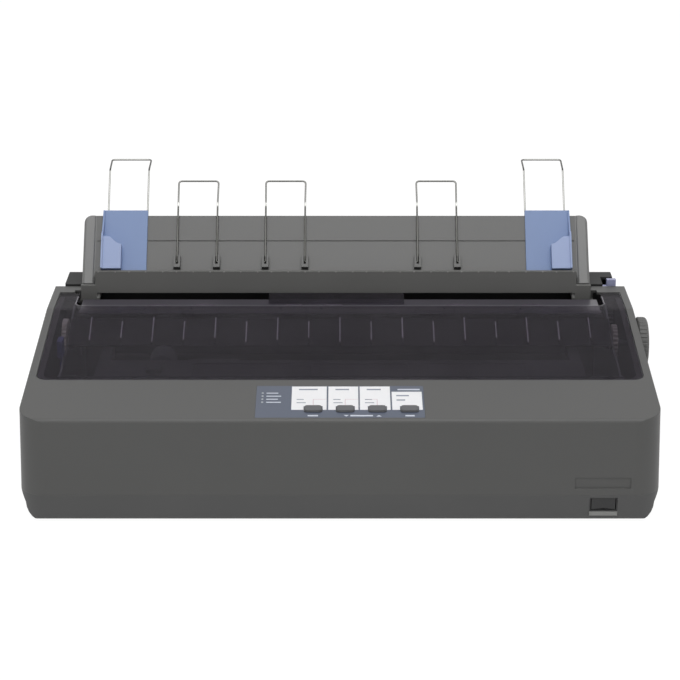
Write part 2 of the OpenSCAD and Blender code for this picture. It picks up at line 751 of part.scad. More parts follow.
pcb_t = 1.6;
panel_board_z = -10.1;                   // top of the panel's board, below the label's surface
panel_bosses = [for (x = [-1, 1], y = [label_y + 4.5, label_y + label_l - 6]) [x * (label_w / 2 - 5), y]];
led_ys = [for (i = [0:3]) label_y + 31 + 6.4 * i];
led_x = -label_w / 2 + 6;
led_d = 2;

module panel_label() {
    color("#5c6273") seat() difference() {
        on_slope() translate([0, 0, -label_t]) linear_extrude(label_t)
            rounded_rect(-label_w / 2, label_w / 2, label_y, label_y + label_l, 1.5);
        button_holes(0.35, -wall, e);
    }
}

module panel_board() {
    color("#2f5a3c") seat() on_slope() {
        difference() {
            block(-label_w / 2, label_w / 2, label_y + 0.5, label_y + label_l - 2,
                panel_board_z - pcb_t, panel_board_z);
            for (p = panel_bosses) boss(p, panel_board_z - pcb_t - e, panel_board_z + e, screw_d);
        }
        for (i = [0:3]) translate([button_at(i), button_y, panel_board_z]) {
            block(-3, 3, -3, 3, 0, 1.4);
            cylinder(d = 3, h = 1.8);
        }
        for (y = led_ys) translate([led_x + 2, y, panel_board_z]) cylinder(d = led_d, h = 4);
        block(-20, 20, label_y + label_l - 14, label_y + label_l - 8, panel_board_z, panel_board_z + 5);
    }
}

module button(i) {
    color("#3c3d40") seat() on_slope() translate([button_at(i), button_y, 0]) {
        w = button_w / 2;
        l = button_l / 2;
        translate([0, 0, -5]) linear_extrude(6) rounded_rect(-w, w, -l, l, 3);
        translate([0, 0, 1]) linear_extrude(0.8) rounded_rect(-w + 0.8, w - 0.8, -l + 0.8, l - 0.8, 2.4);
        translate([0, 0, -5]) linear_extrude(1.4) rounded_rect(-w - 1.2, w + 1.2, -l - 1.2, l + 1.2, 3);
        translate([0, 0, panel_board_z + 1.8 + button_travel + 0.15])
            cylinder(d = 4, h = -panel_board_z - 6.5 - button_travel);
    }
}

module button_1() { button(0); }
module button_2() { button(1); }
module button_3() { button(2); }
module button_4() { button(3); }

switch_y = front_taper - 0.6;            // front face of the switch frame
rocker_y = switch_y + 8;                 // pivot of the rocker
rocker_w = switch_w - 4;
rocker_h = switch_h - 3;

module switch_frame() {
    color("#232323") seat() translate([switch_x, 0, switch_z]) difference() {
        block(0.1 - switch_w / 2, switch_w / 2 - 0.1, switch_y, switch_y + switch_depth,
            0.1 - switch_h / 2, switch_h / 2 - 0.1);
        block(-rocker_w / 2 - 0.8, rocker_w / 2 + 0.8, switch_y - e, switch_y + switch_depth - 2,
            -rocker_h / 2 - 0.3, rocker_h / 2 + 0.3);
        translate([0, rocker_y, -switch_h / 2 + 0.5]) cylinder(d = 2 + 2 * run, h = switch_h - 1, $fn = 24);
    }
}

module power_rocker() {
    color("#2c2c2c") seat() translate([switch_x, rocker_y, switch_z]) {
        w = rocker_w / 2;
        translate([0, 0, -rocker_h / 2]) linear_extrude(rocker_h)
            polygon([[-w, -7.4], [0, -6], [w, -7.4], [w, -2], [4, 4], [-4, 4], [-w, -2]]);
        translate([0, 0, -rocker_h / 2 - 0.7]) cylinder(d = 2, h = rocker_h + 1.4, $fn = 24);
    }
}

// ---- chassis and side frames

sheet_t = 1.5;
chassis_top = chassis_z + sheet_t;
frame_t = 2;
frame_x = half_w - 27;                   // inner face of the side frames
exit_y = hinge_y - 18.5;
exit_z = deck_z - 20.6;
star_d = 10;
nip = 0.3;                               // gap between a driven roller and its idler
star_at = [exit_y, exit_z] + (exit_d / 2 + star_d / 2 + nip) * [sin(45), cos(45)];
rail_y = platen_y - 43;
rail_z = platen_z - 33;
tractor_y = strip_y + 22;
tractor_z = platen_z - 7;
tractor_shaft_d = 7;
tractor_rail_d = 6;
tractor_rail_z = tractor_z - 22;
tab_y = [rail_y - 65, rail_y - 45];      // tabs that carry the ribbon cartridge
hole_pitch = 68;                         // of the openings in the chassis
hole_l = 40;

module chassis() {
    holes = floor((chassis_x - 60) / hole_pitch);
    color("#9a9c9e") seat() difference() {
        union() {
            block(-chassis_x, chassis_x, chassis_y0, chassis_y1, chassis_z, chassis_top);
            // folded front edge
            block(-chassis_x + 30, chassis_x - 30, chassis_y0, chassis_y0 + sheet_t,
                chassis_z, chassis_z + 16);
        }
        for (p = chassis_bosses) boss(p, chassis_z - e, chassis_top + e, screw_d);
        for (i = [-holes:holes]) translate([i * hole_pitch, 0, chassis_z - e]) linear_extrude(sheet_t + 2 * e)
            rounded_rect(10 - hole_pitch / 2, hole_pitch / 2 - 10, rail_y - 97, rail_y - 97 + hole_l, 5);
        for (b = concat(board_bosses(main_x), board_bosses(supply_x)))
            boss(b, chassis_z - e, chassis_top + e, 12);
    }
}

module side_frame_form() {
    top = ledge_z - wall - 2;
    difference() {
        union() {
            along_x(frame_x, frame_x + frame_t) polygon([
                [chassis_y0 + 8, chassis_top], [chassis_y1 - 2, chassis_top], [chassis_y1 - 2, top],
                [bed_y + 2, top], [exit_y + 12, exit_z + 12], [exit_y - 8, exit_z + 11],
                [platen_y - 14, platen_z + 5], [rail_y - 20, platen_z + 3], [chassis_y0 + 8, platen_z - 12]
            ]);
            // foot folded inwards on the chassis
            block(frame_x - frame_foot, frame_x + e, chassis_y0 + 4, chassis_y1 - 2,
                chassis_top, chassis_top + sheet_t);
            // tab that carries the ribbon cartridge
            block(arm_x[1] - 12, frame_x + e, tab_y[0], tab_y[1],
                ribbon_z - sheet_t - seat_gap, ribbon_z - seat_gap);
        }
        rod_x(platen_shaft_d + 2 * run, frame_x - e, half_w, platen_y, platen_z);
        rod_x(rail_d + 2 * run, frame_x - e, half_w, rail_y, rail_z);
        rod_x(exit_shaft_d + 2 * run, frame_x - e, half_w, exit_y, exit_z);
        rod_x(3 + 2 * run, frame_x - e, half_w, star_at[0], star_at[1]);
        rod_x(tractor_shaft_d + 2 * run, frame_x - e, half_w, tractor_y, tractor_z);
        rod_x(tractor_rail_d + 2 * run, frame_x - e, half_w, tractor_y, tractor_rail_z);
        for (p = chassis_bosses) if (p[0] > 0) boss(p, chassis_top - e, chassis_top + sheet_t + e, screw_d);
    }
}

frame_foot = 12;
ribbon_z = platen_z - 9;                 // underside of the ribbon cartridge

module side_frame_left() {
    color("#8f9193") seat() mirror([1, 0, 0]) difference() {
        side_frame_form();
        rod_x(14, frame_x - e, half_w, pinion_at[0], pinion_at[1]);
    }
    color("#8f9193") seat() mirror([1, 0, 0]) {
        stud(reduction_at);
        stud(tractor_idler_at);
    }
}

module side_frame_right() {
    color("#8f9193") seat() {
        side_frame_form();
        stud(exit_idler_at);
        stud(release_pivot);
    }
}

// ---- gears: involute profile, drawn with a straight flank between root and tip

pressure = 25;
backlash = 0.12;                         // thinning of each tooth flank
addendum = 0.8;
dedendum = 1.05;

function involute(a) = tan(a) * 180 / PI - a;
function flank(r, teeth, m) =
    90 / teeth - backlash / (m * teeth / 2) * 180 / PI + involute(pressure)
        - involute(acos(min(1, m * teeth / 2 * cos(pressure) / r)));
function polar(r, a) = [r * cos(a), r * sin(a)];

module gear_outline(teeth, phase, m = gear_m) {
    root = m * (teeth / 2 - dedendum);
    tip = m * (teeth / 2 + addendum);
    polygon([for (i = [0:teeth - 1], k = [0:3])
        let (a = phase + i * 360 / teeth)
        k == 0 ? polar(root, a - flank(root, teeth, m)) : k == 1 ? polar(tip, a - flank(tip, teeth, m)) :
        k == 2 ? polar(tip, a + flank(tip, teeth, m)) : polar(root, a + flank(root, teeth, m))]);
}

// Gear whose axis runs along X at a place [y, z], between x0 and x1, with its hub bored
module gear_x(at, teeth, phase, x0, x1, bore) {
    translate([0, at[0], at[1]]) difference() {
        union() {
            along_x(x0, x1) gear_outline(teeth, phase);
            rod_x(bore + 5, x0 - 0.3, x1 + 0.8, 0, 0);
        }
        rod_x(bore + 2 * run, x0 - 2, x1 + 2, 0, 0);
    }
}

function pitch_sum(a, b) = gear_m * (a + b) / 2;
// Phase of gear b that meshes with gear a, when b lies at angle line from a
function mesh(line, teeth_a, phase_a, teeth_b) =
    line + 180 + 180 / teeth_b - (phase_a - line) * teeth_a / teeth_b;
function angle_to(a, b) = atan2(b[1] - a[1], b[0] - a[0]);
// Point at distance ra from a and rb from b, on the lower side
function between(a, ra, b, rb) =
    let (d = norm(b - a), u = (b - a) / d, k = (ra * ra - rb * rb + d * d) / (2 * d))
    a + k * u + sqrt(ra * ra - k * k) * [u[1], -u[0]];

platen_teeth = 32;
reduction_teeth = 30;
pinion_teeth = 14;
idler_teeth = 48;
tractor_teeth = 20;
exit_drive_teeth = 24;
exit_teeth = 16;
stud_d = 5;
platen_at = [platen_y, platen_z];
exit_at = [exit_y, exit_z];
tractor_at = [tractor_y, tractor_z];
reduction_at = platen_at + polar(pitch_sum(platen_teeth, reduction_teeth), -75);
pinion_at = reduction_at + polar(pitch_sum(reduction_teeth, pinion_teeth), -150);
tractor_idler_at = between(reduction_at, pitch_sum(reduction_teeth, idler_teeth),
    tractor_at, pitch_sum(idler_teeth, tractor_teeth));
exit_idler_at = between(platen_at, pitch_sum(exit_drive_teeth, exit_teeth),
    exit_at, pitch_sum(exit_teeth, exit_teeth));
reduction_phase = mesh(-75, platen_teeth, 0, reduction_teeth);
pinion_phase = mesh(-150, reduction_teeth, reduction_phase, pinion_teeth);
idler_phase = mesh(angle_to(reduction_at, tractor_idler_at), reduction_teeth, reduction_phase, idler_teeth);
tractor_phase = mesh(angle_to(tractor_idler_at, tractor_at), idler_teeth, idler_phase, tractor_teeth);
exit_idler_phase = mesh(angle_to(platen_at, exit_idler_at), exit_drive_teeth, 0, exit_teeth);
exit_phase = mesh(angle_to(exit_idler_at, exit_at), exit_teeth, exit_idler_phase, exit_teeth);
train_x = frame_x + frame_t + 1;         // inner face of the gears outside each side frame

// The gears on the left are drawn at mirrored X, with the same profile in Y and Z
module left_gear(at, teeth, phase, bore) {
    color("#d8d6cc") seat() mirror([1, 0, 0]) gear_x(at, teeth, phase, train_x, train_x + gear_w, bore);
}

module right_gear(at, teeth, phase, bore) {
    color("#d8d6cc") seat() gear_x(at, teeth, phase, train_x, train_x + gear_w, bore);
}

// Stud fixed in the side frame and headed outside the gear
module stud(at) {
    rod_x(stud_d, frame_x - 1.5, train_x + gear_w + 1.2, at[0], at[1]);
    rod_x(stud_d + 3, train_x + gear_w + 1, train_x + gear_w + 2, at[0], at[1]);
    rod_x(stud_d + 4, frame_x - 1.5, frame_x + e, at[0], at[1]);
}

// ---- platen, its gears and the hand knob

shaft_end = half_w + knob_proud - 3;
knob_gap = 1.8;                          // between the side wall and the knob
knob_l = knob_proud - knob_gap;

module platen() {
    color("#1b1b1c") seat() difference() {
        rod_x(platen_d, -platen_l / 2, platen_l / 2, platen_y, platen_z);
        rod_x(platen_shaft_d + 2 * run, -half_w, half_w, platen_y, platen_z);
    }
}

module platen_shaft() {
    color("#b9bcc0") seat() {
        rod_x(platen_shaft_d, -train_x - gear_w - 2, shaft_end, platen_y, platen_z);
        // collars that keep the shaft from sliding
        both() rod_x(platen_shaft_d + 5, frame_x - 3, frame_x - 0.4, platen_y, platen_z);
    }
}

module platen_gear() { left_gear(platen_at, platen_teeth, 0, platen_shaft_d); }
module exit_drive_gear() { right_gear(platen_at, exit_drive_teeth, 0, platen_shaft_d); }

module knob() {
    color("#6a6a69") seat() translate([0, platen_y, platen_z]) difference() {
        translate([half_w + knob_gap, 0, 0]) rotate([0, 90, 0]) rotate_extrude() polygon(concat(
            [[0, 0], [knob_d / 2 - 1.5, 0], [knob_d / 2, 1.5], [knob_d / 2, knob_l - 5]],
            arc([knob_d / 2 - 4, knob_l - 4], 4, 0, 90),
            [[knob_d / 2 - 9, knob_l], [knob_d / 2 - 10, knob_l - 1], [0, knob_l - 1]]
        ));
        rod_x(platen_shaft_d + 2 * run, half_w - e, shaft_end + 0.1, 0, 0);
        // grip grooves
        for (i = [0:knob_grooves - 1]) rotate([360 / knob_grooves * i, 0, 0])
            translate([half_w + knob_gap + 1.4, 0, knob_d / 2 + 0.45]) rotate([0, 90, 0])
                cylinder(d = 2.4, h = knob_proud, $fn = 8);
    }
}

module feed_motor() {
    color("#4a4b4d") seat() mirror([1, 0, 0]) {
        rod_x(42, frame_x - 28, frame_x, pinion_at[0], pinion_at[1]);
        rod_x(12, frame_x - 30, frame_x - 27, pinion_at[0], pinion_at[1]);
        rod_x(11, frame_x - e, frame_x + 1.4, pinion_at[0], pinion_at[1]);
    }
}

module motor_pinion() {
    color("#c9b26a") seat() mirror([1, 0, 0]) {
        gear_x(pinion_at, pinion_teeth, pinion_phase, train_x, train_x + gear_w, 3);
        rod_x(3 + 2 * run, frame_x + 1.6, train_x + gear_w + 1, pinion_at[0], pinion_at[1]);
    }
}

module reduction_gear() { left_gear(reduction_at, reduction_teeth, reduction_phase, stud_d); }
module tractor_idler() { left_gear(tractor_idler_at, idler_teeth, idler_phase, stud_d); }
module exit_idler_gear() { right_gear(exit_idler_at, exit_teeth, exit_idler_phase, stud_d); }

// ---- paper exit

roller_xs = [-196, -146, -50, -7, 125, 206];
roller_w = 8;

module exit_shaft() {
    color("#303032") seat() {
        rod_x(exit_shaft_d, -frame_x - frame_t - 1, train_x + gear_w + 1, exit_y, exit_z);
        // each roller is a pair of tyres on one hub
        for (x = roller_xs) {
            rod_x(exit_shaft_d + 4, x - 14, x + 14, exit_y, exit_z);
            for (s = [-1, 1])
                rod_x(exit_d, x + s * 9 - roller_w / 2, x + s * 9 + roller_w / 2, exit_y, exit_z);
        }
        both() rod_x(exit_shaft_d + 3, frame_x - 2, frame_x - 0.4, exit_y, exit_z);
        translate([0, exit_y, exit_z]) along_x(train_x, train_x + gear_w)
            gear_outline(exit_teeth, exit_phase);
    }
}

module exit_idlers() {
    color("#3a3a3c") seat() {
        rod_x(3, -frame_x - frame_t - 1, frame_x + frame_t + 1, star_at[0], star_at[1]);
        for (x = roller_xs, s = [-1, 1]) rod_x(star_d, x + s * 9 - 2, x + s * 9 + 2, star_at[0], star_at[1]);
        both() rod_x(6, frame_x - 2, frame_x - 0.4, star_at[0], star_at[1]);
    }
}

guide_front = [platen_y - 28, platen_z + 7];
guide_rear = [platen_y + 10, platen_z + 23];
rib_pitch = 33;

module exit_guide() {
    color("#2c2c30") seat() {
        along_x(-frame_x + 0.1, frame_x - 0.1) polygon([
            guide_front, guide_front + [0.8, -2], guide_rear + [0.8, -2], guide_rear
        ]);
        ribs = floor((frame_x - 10) / rib_pitch);
        for (i = [-ribs:ribs]) along_x(rib_pitch * i - 0.8, rib_pitch * i + 0.8) polygon([
            guide_front + [0.4, -1], guide_front + [0, 2.5], guide_rear + [-2, 2.5], guide_rear + [0, -1]
        ]);
        // ends that hook over the side frames' edge
        both() along_x(frame_x - 3, frame_x - 0.1) polygon([
            guide_front, guide_front + [3, -6], guide_rear + [-2, -10], guide_rear
        ]);
    }
}

// ---- tractors for fanfold paper

tractor_w = 22;
tractor_inset = 86;                      // from each side frame to the tractor beside it
tractor_xs = [tractor_inset - frame_x, frame_x - tractor_inset - tractor_w];
sprocket_d = 22;
pin_count = 10;

module tractor_shaft() {
    color("#b9bcc0") seat() {
        rod_x(tractor_shaft_d, -train_x - gear_w - 1, frame_x + frame_t + 1, tractor_y, tractor_z);
        both() rod_x(tractor_shaft_d + 4, frame_x - 2, frame_x - 0.4, tractor_y, tractor_z);
        mirror([1, 0, 0]) translate([0, tractor_y, tractor_z])
            along_x(train_x, train_x + gear_w) gear_outline(tractor_teeth, tractor_phase);
    }
}

module tractor_rail() {
    color("#b9bcc0") seat() {
        rod_x(tractor_rail_d, -frame_x - frame_t, frame_x + frame_t, tractor_y, tractor_rail_z);
        both() rod_x(tractor_rail_d + 4, frame_x - 2, frame_x - 0.1, tractor_y, tractor_rail_z);
    }
}

module tractor(x) {
    color("#38383a") seat() translate([x, 0, 0]) difference() {
        union() {
            along_x(0, tractor_w) polygon(concat(
                arc([tractor_y - 10, tractor_z + 4], 9, 180, 90),
                arc([tractor_y + 10, tractor_z + 4], 9, 90, 0),
                [[tractor_y + 8, tractor_rail_z - 6], [tractor_y - 8, tractor_rail_z - 6]]
            ));
            // hinged lid over the pins
            along_x(0, tractor_w) polygon([
                [tractor_y - 17, tractor_z + 16], [tractor_y + 17, tractor_z + 16],
                [tractor_y + 17, tractor_z + 18], [tractor_y - 17, tractor_z + 18]
            ]);
            along_x(0, 3) polygon([
                [tractor_y - 17, tractor_z + 4], [tractor_y + 17, tractor_z + 4],
                [tractor_y + 17, tractor_z + 17], [tractor_y - 17, tractor_z + 17]
            ]);
        }
        // room for the sprocket
        rod_x(sprocket_d + 5, 6, tractor_w - 5, tractor_y, tractor_z);
        rod_x(tractor_shaft_d + 2 * run, -e, tractor_w + e, tractor_y, tractor_z);
        rod_x(tractor_rail_d + 2 * run, -e, tractor_w + e, tractor_y, tractor_rail_z);
    }
}

module tractor_left() { tractor(tractor_xs[0]); }
module tractor_right() { tractor(tractor_xs[1]); }

module sprocket(x) {
    color("#e4e2da") seat() translate([x, 0, 0]) difference() {
        union() {
            rod_x(sprocket_d, 6.5, tractor_w - 5.5, tractor_y, tractor_z);
            for (i = [0:pin_count - 1]) translate([tractor_w / 2, tractor_y, tractor_z])
                rotate([360 / pin_count * i, 0, 0]) cylinder(d = 3, h = sprocket_d / 2 + 2);
        }
        rod_x(tractor_shaft_d + 2 * run, 0, tractor_w, tractor_y, tractor_z);
    }
}

module sprocket_left() { sprocket(tractor_xs[0]); }
module sprocket_right() { sprocket(tractor_xs[1]); }

// ---- print carriage

carriage_x = carriage_home - frame_x;
belt_t = 1.2;
belt_z = rail_z - 22;                    // lower edge of the belt
belt_y = rail_y - 15;                    // pulley axes
motor_d = 40;
pulley_x = frame_x - frame_foot - motor_d / 2 - 1;
motor_l = 30;
front_rail_y = belt_y - pulley_d / 2 - 12;

module carriage_shaft() {
    color("#c2c5c9") seat() {
        rod_x(rail_d, -train_x - 5, frame_x + frame_t + 2, rail_y, rail_z);
        both() rod_x(rail_d + 4, frame_x - 2, frame_x - 0.1, rail_y, rail_z);
    }
}

module carriage_rail() {
    color("#8f9193") seat() {
        block(-frame_x + 0.1, frame_x - 0.1, front_rail_y, front_rail_y + 6.5, rail_z - 12, rail_z - 10);
        block(-frame_x + 0.1, frame_x - 0.1, front_rail_y, front_rail_y + 2, rail_z - 24, rail_z - 11);
    }
}

module carriage() {
    color("#26272a") seat() translate([carriage_x, 0, 0]) difference() {
        union() {
            block(-carriage_w / 2, carriage_w / 2, rail_y - 16, rail_y + 11, rail_z - 9, rail_z + 12);
            block(-carriage_w / 2, carriage_w / 2, front_rail_y + 1, rail_y - 15, rail_z - 9.8, rail_z - 4);
            // plate that the print head is screwed to
            block(-20, 20, rail_y - 18, rail_y + 14, rail_z + 11, rail_z + 14);
            // fork that grips the belt
            block(-8, 8, belt_y - pulley_d / 2 - 5, belt_y - pulley_d / 2 + 4, belt_z - 2, rail_z - 8);
        }
        rod_x(rail_d + 2 * run, -carriage_w, carriage_w, rail_y, rail_z);
        block(-9, 9, belt_y - pulley_d / 2 - belt_t - 0.3, belt_y - pulley_d / 2 + 0.3,
            belt_z - 3, belt_z + belt_h + 0.5);
    }
}

head_z = platen_z - 5;
nose_y = platen_y - platen_d / 2 - 1.6;

module print_head() {
    color("#6d7074") seat() translate([carriage_x, 0, 0]) {
        for (i = [0:6]) translate([0, rail_y - 20 + 4.6 * i, head_z]) rotate([-90, 0, 0])
            cylinder(d = 27.6, h = 2);
        translate([0, rail_y - 20, head_z]) rotate([-90, 0, 0]) cylinder(d = 21, h = 31);
        block(-12, 12, rail_y - 16, rail_y + 12, rail_z + 14, head_z);
        // nose that holds the wires, narrowed towards the platen
        translate([0, 0, platen_z - 4]) linear_extrude(8) polygon([
            [-9, rail_y + 10], [9, rail_y + 10], [5, nose_y - 4], [5, nose_y], [-5, nose_y], [-5, nose_y - 4]
        ]);
    }
}

module belt_path(r) {
    hull() for (s = [-1, 1]) translate([s * pulley_x, belt_y]) circle(r);
}

module timing_belt() {
    color("#1c1c1e") seat() translate([0, 0, belt_z]) linear_extrude(belt_h) difference() {
        belt_path(pulley_d / 2 + belt_t);
        belt_path(pulley_d / 2 + run);
    }
}

module pulley(x, bore) {
    color("#c4c6c8") seat() translate([x, belt_y, belt_z]) difference() {
        union() {
            cylinder(d = pulley_d, h = belt_h);
            for (z = [-1.4, belt_h + 0.2]) translate([0, 0, z]) cylinder(d = pulley_d + 5, h = 1.2);
            translate([0, 0, -1]) cylinder(d = pulley_d - 4, h = belt_h + 2);
        }
        translate([0, 0, -2]) cylinder(d = bore + 2 * run, h = belt_h + 4);
    }
}

module drive_pulley() { pulley(-pulley_x, 4); }
module idler_pulley() { pulley(pulley_x, 4); }

module carriage_motor() {
    color("#4a4b4d") seat() {
        translate([-pulley_x, belt_y, chassis_top]) {
            cylinder(d = motor_d, h = motor_l);
            cylinder(d = 12, h = motor_l + 2);
            cylinder(d = 4, h = belt_z - chassis_top + belt_h + 2.5);
        }
        // post and pin of the idler pulley at the other end
        translate([pulley_x, belt_y, chassis_top]) {
            translate([-12, -12, 0]) cube([24, 24, 2]);
            cylinder(d = 10, h = belt_z - chassis_top - 1.8);
            cylinder(d = 4, h = belt_z - chassis_top + belt_h + 2.5);
        }
    }
}

// ---- ribbon

cartridge_y0 = cover_y + 12;
cartridge_y1 = rail_y - 25;
cartridge_h = 14;
arm_x = [platen_l / 2 + 6, platen_l / 2 + 18];
arm_y1 = platen_y - 12;
ribbon_knob_at = [-190, (cartridge_y0 + cartridge_y1) / 2];

module ribbon_cartridge() {
    color("#1e1e20") seat() {
        difference() {
            union() {
                translate([0, 0, ribbon_z]) linear_extrude(cartridge_h)
                    rounded_plan(arm_x[1], cartridge_y0, cartridge_y1, 8, 3);
                both() {
                    block(arm_x[0], arm_x[1], cartridge_y1 - e, arm_y1, ribbon_z + 1, ribbon_z + 12);
                    block(arm_x[1] - e, frame_x - 0.5, tab_y[0], tab_y[1], ribbon_z, ribbon_z + 3);
                }
            }
            // shallow panels in the lid
            for (x = [-150, -30, 90]) translate([x, 0, ribbon_z + cartridge_h - 0.8]) linear_extrude(2)
                rounded_rect(0, 100, cartridge_y0 + 8, cartridge_y1 - 8, 4);
            translate([ribbon_knob_at[0], ribbon_knob_at[1], ribbon_z + 4])
                cylinder(d = 4 + 2 * run, h = cartridge_h);
        }
        // inked ribbon stretched between the arms
        block(-arm_x[0] - 1, arm_x[0] + 1, arm_y1 - 2.3, arm_y1 - 2, ribbon_z + 2, ribbon_z + 11.5);
    }
}

module ribbon_knob() {
    color("#2a2a2c") seat() translate([ribbon_knob_at[0], ribbon_knob_at[1], ribbon_z + cartridge_h + 0.2]) {
        difference() {
            cylinder(d = 18, h = 4.5);
            for (i = [0:11]) rotate([0, 0, 30 * i]) translate([9.6, 0, -e]) cylinder(d = 2.6, h = 8, $fn = 8);
        }
        translate([0, 0, -8]) cylinder(d = 4, h = 9);
    }
}

// ---- levers

module gap_lever() {
    color("#5360a0") seat() difference() {
        union() {
            rod_x(18, -train_x - 4, -train_x, rail_y, rail_z);
            block(-train_x - 4, -train_x, rail_y - 5, rail_y + 5, rail_z, rail_z + 38);
            block(-train_x - 5.5, -train_x, rail_y - 8, rail_y + 8, rail_z + 34, rail_z + 52);
        }
        rod_x(rail_d + 2 * run, -half_w, -frame_x, rail_y, rail_z);
    }
}

release_pivot = [strip_y + 7, tractor_z - 8];
release_x = frame_x + frame_t + 1;      // inner face of the release lever

module release_lever() {
    color("#9a9fc0") seat() difference() {
        y = release_pivot[0];
        z = release_pivot[1];
        union() {
            rod_x(14, release_x, release_x + gear_w, y, z);
            block(release_x, release_x + gear_w, y - 3, y + 3, z, deck_z - 2);
            block(release_x, lever_arm_x[1] - 0.4, y - 3, y + 3, ledge_z + 2, deck_z - 2);
            block(lever_x[0], lever_x[1], y - 3, y + 3, deck_z - 6, deck_z + 5.5);
        }
        rod_x(stud_d + 2 * run, release_x - e, release_x + gear_w + e, y, z);
    }
}

// ---- electronics

module board(ends) {
    difference() {
        block(ends[0], ends[1], board_y0, board_y1, board_z, board_z + pcb_t);
        for (p = board_bosses(ends)) boss(p, board_z - e, board_z + pcb_t + e, screw_d);
    }
}

module main_board() {
    top = board_z + pcb_t;
    color("#2f5a3c") seat() {
        board(main_x);
        // interface connectors, let into the rear wall
        for (i = [0:2]) {
            block(port_xs[i] - port_ws[i] / 2 + 0.3, port_xs[i] + port_ws[i] / 2 - 0.3,
                board_y1 - 12, board_y1, top - e, port_z + 1);
            difference() {
                block(port_xs[i] - port_ws[i] / 2 + 0.3, port_xs[i] + port_ws[i] / 2 - 0.3,
                    board_y1 - 12, case_d - 0.6, port_z + 0.3, port_z + port_h - 0.3);
                block(port_xs[i] - port_ws[i] / 2 + 2.3, port_xs[i] + port_ws[i] / 2 - 2.3,
                    case_d - 8, case_d + e, port_z + 3, port_z + port_h - 3);
            }
        }
        // processor, memory, driver chips and their heat sink
        block(90, 118, board_y0 + 36, board_y0 + 64, top - 0.2, top + 2.4);
        for (i = [0:2]) block(30 + 18 * i, 42 + 18 * i, board_y0 + 40, board_y0 + 60, top - 0.2, top + 2.6);
        block(150, 240, board_y0 + 10, board_y0 + 13, top - 0.2, top + 24);
        for (i = [0:5])
            block(152 + 15 * i, 162 + 15 * i, board_y0 + 12.8, board_y0 + 17, top - 0.2, top + 16);
        for (i = [0:3]) block(26 + 30 * i, 48 + 30 * i, board_y0 + 6, board_y0 + 12, top - 0.2, top + 8);
    }
}

module power_supply() {
    top = board_z + pcb_t;
    inlet_y = case_d - 22;
    color("#b08d57") seat() {
        board(supply_x);
        // transformer with its winding and core
        difference() {
            block(-168, -112, board_y0 + 22, board_y0 + 72, top - 0.2, top + 34);
            block(-160, -120, board_y0 + 20, board_y0 + 74, top + 8, top + 26);
        }
        block(-158, -122, board_y0 + 18, board_y0 + 76, top + 7.9, top + 26.1);
        for (x = [-92, -76]) translate([x, board_y0 + 30, top - 0.2]) cylinder(d = 14, h = 26);
        translate([-248, board_y0 + 34, top - 0.2]) cylinder(d = 24, h = 32);
        block(-222, -200, board_y0 + 20, board_y0 + 23, top - 0.2, top + 34);
        // mains inlet, let into the rear wall
        difference() {
            block(inlet_x - inlet_w / 2 + 0.2, inlet_x + inlet_w / 2 - 0.2, inlet_y, case_d - 0.8,
                inlet_z + 0.2, inlet_z + inlet_h - 0.2);
            block(inlet_x - 10.5, inlet_x + 10.5, inlet_y + 4, case_d,
                inlet_z + 2.5, inlet_z + inlet_h - 2.5);
        }
        block(inlet_x - 8, inlet_x + 8, inlet_y, inlet_y + 6, top - 0.2, inlet_z + 1);
        for (i = [-1:1]) block(inlet_x + 7 * i - 1, inlet_x + 7 * i + 1, inlet_y + 3, case_d - 5,
            inlet_z + inlet_h / 2 - 2, inlet_z + inlet_h / 2 + 2);
    }
}

module screw(p, z, l) {
    translate([p[0], p[1], z]) cylinder(d = head_d, h = 2, $fn = 24);
    translate([p[0], p[1], z - l]) cylinder(d = screw_d - 0.5, h = l + 0.5, $fn = 24);
}

module screws() {
    color("#c8cacc") seat() {
        for (p = chassis_bosses) screw(p, chassis_top + sheet_t, 7);
        for (p = concat(board_bosses(main_x), board_bosses(supply_x))) screw(p, board_z + pcb_t, 7);
        for (p = case_bosses) mirror([0, 0, 1]) screw(p, -floor_z, part_z - floor_z + 16);
        on_slope() for (p = panel_bosses) mirror([0, 0, 1]) screw(p, pcb_t - panel_board_z, 6);
    }
}

lower_case();
rubber_feet();
upper_housing();
printer_cover();
rear_cover();
guide_base();
paper_guide();
edge_guide_left();
edge_guide_right();
edge_wire_left();
edge_wire_right();
support_wire_left();
support_wire_middle();
support_wire_right();
tear_off_bar();
panel_label();
panel_board();
button_1();
button_2();
button_3();
button_4();
switch_frame();
power_rocker();
chassis();
side_frame_left();
side_frame_right();
platen();
platen_shaft();
platen_gear();
exit_drive_gear();
knob();
feed_motor();
motor_pinion();
reduction_gear();
tractor_idler();
tractor_shaft();
tractor_left();
tractor_right();
sprocket_left();
sprocket_right();
tractor_rail();
exit_idler_gear();
exit_shaft();
exit_idlers();
exit_guide();
carriage_shaft();
carriage_rail();
carriage();
print_head();
timing_belt();
drive_pulley();
idler_pulley();
carriage_motor();
ribbon_cartridge();
ribbon_knob();
gap_lever();
release_lever();
main_board();
power_supply();
screws();
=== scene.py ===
import json
import math
import bmesh
import bpy
from mathutils import Matrix, Vector


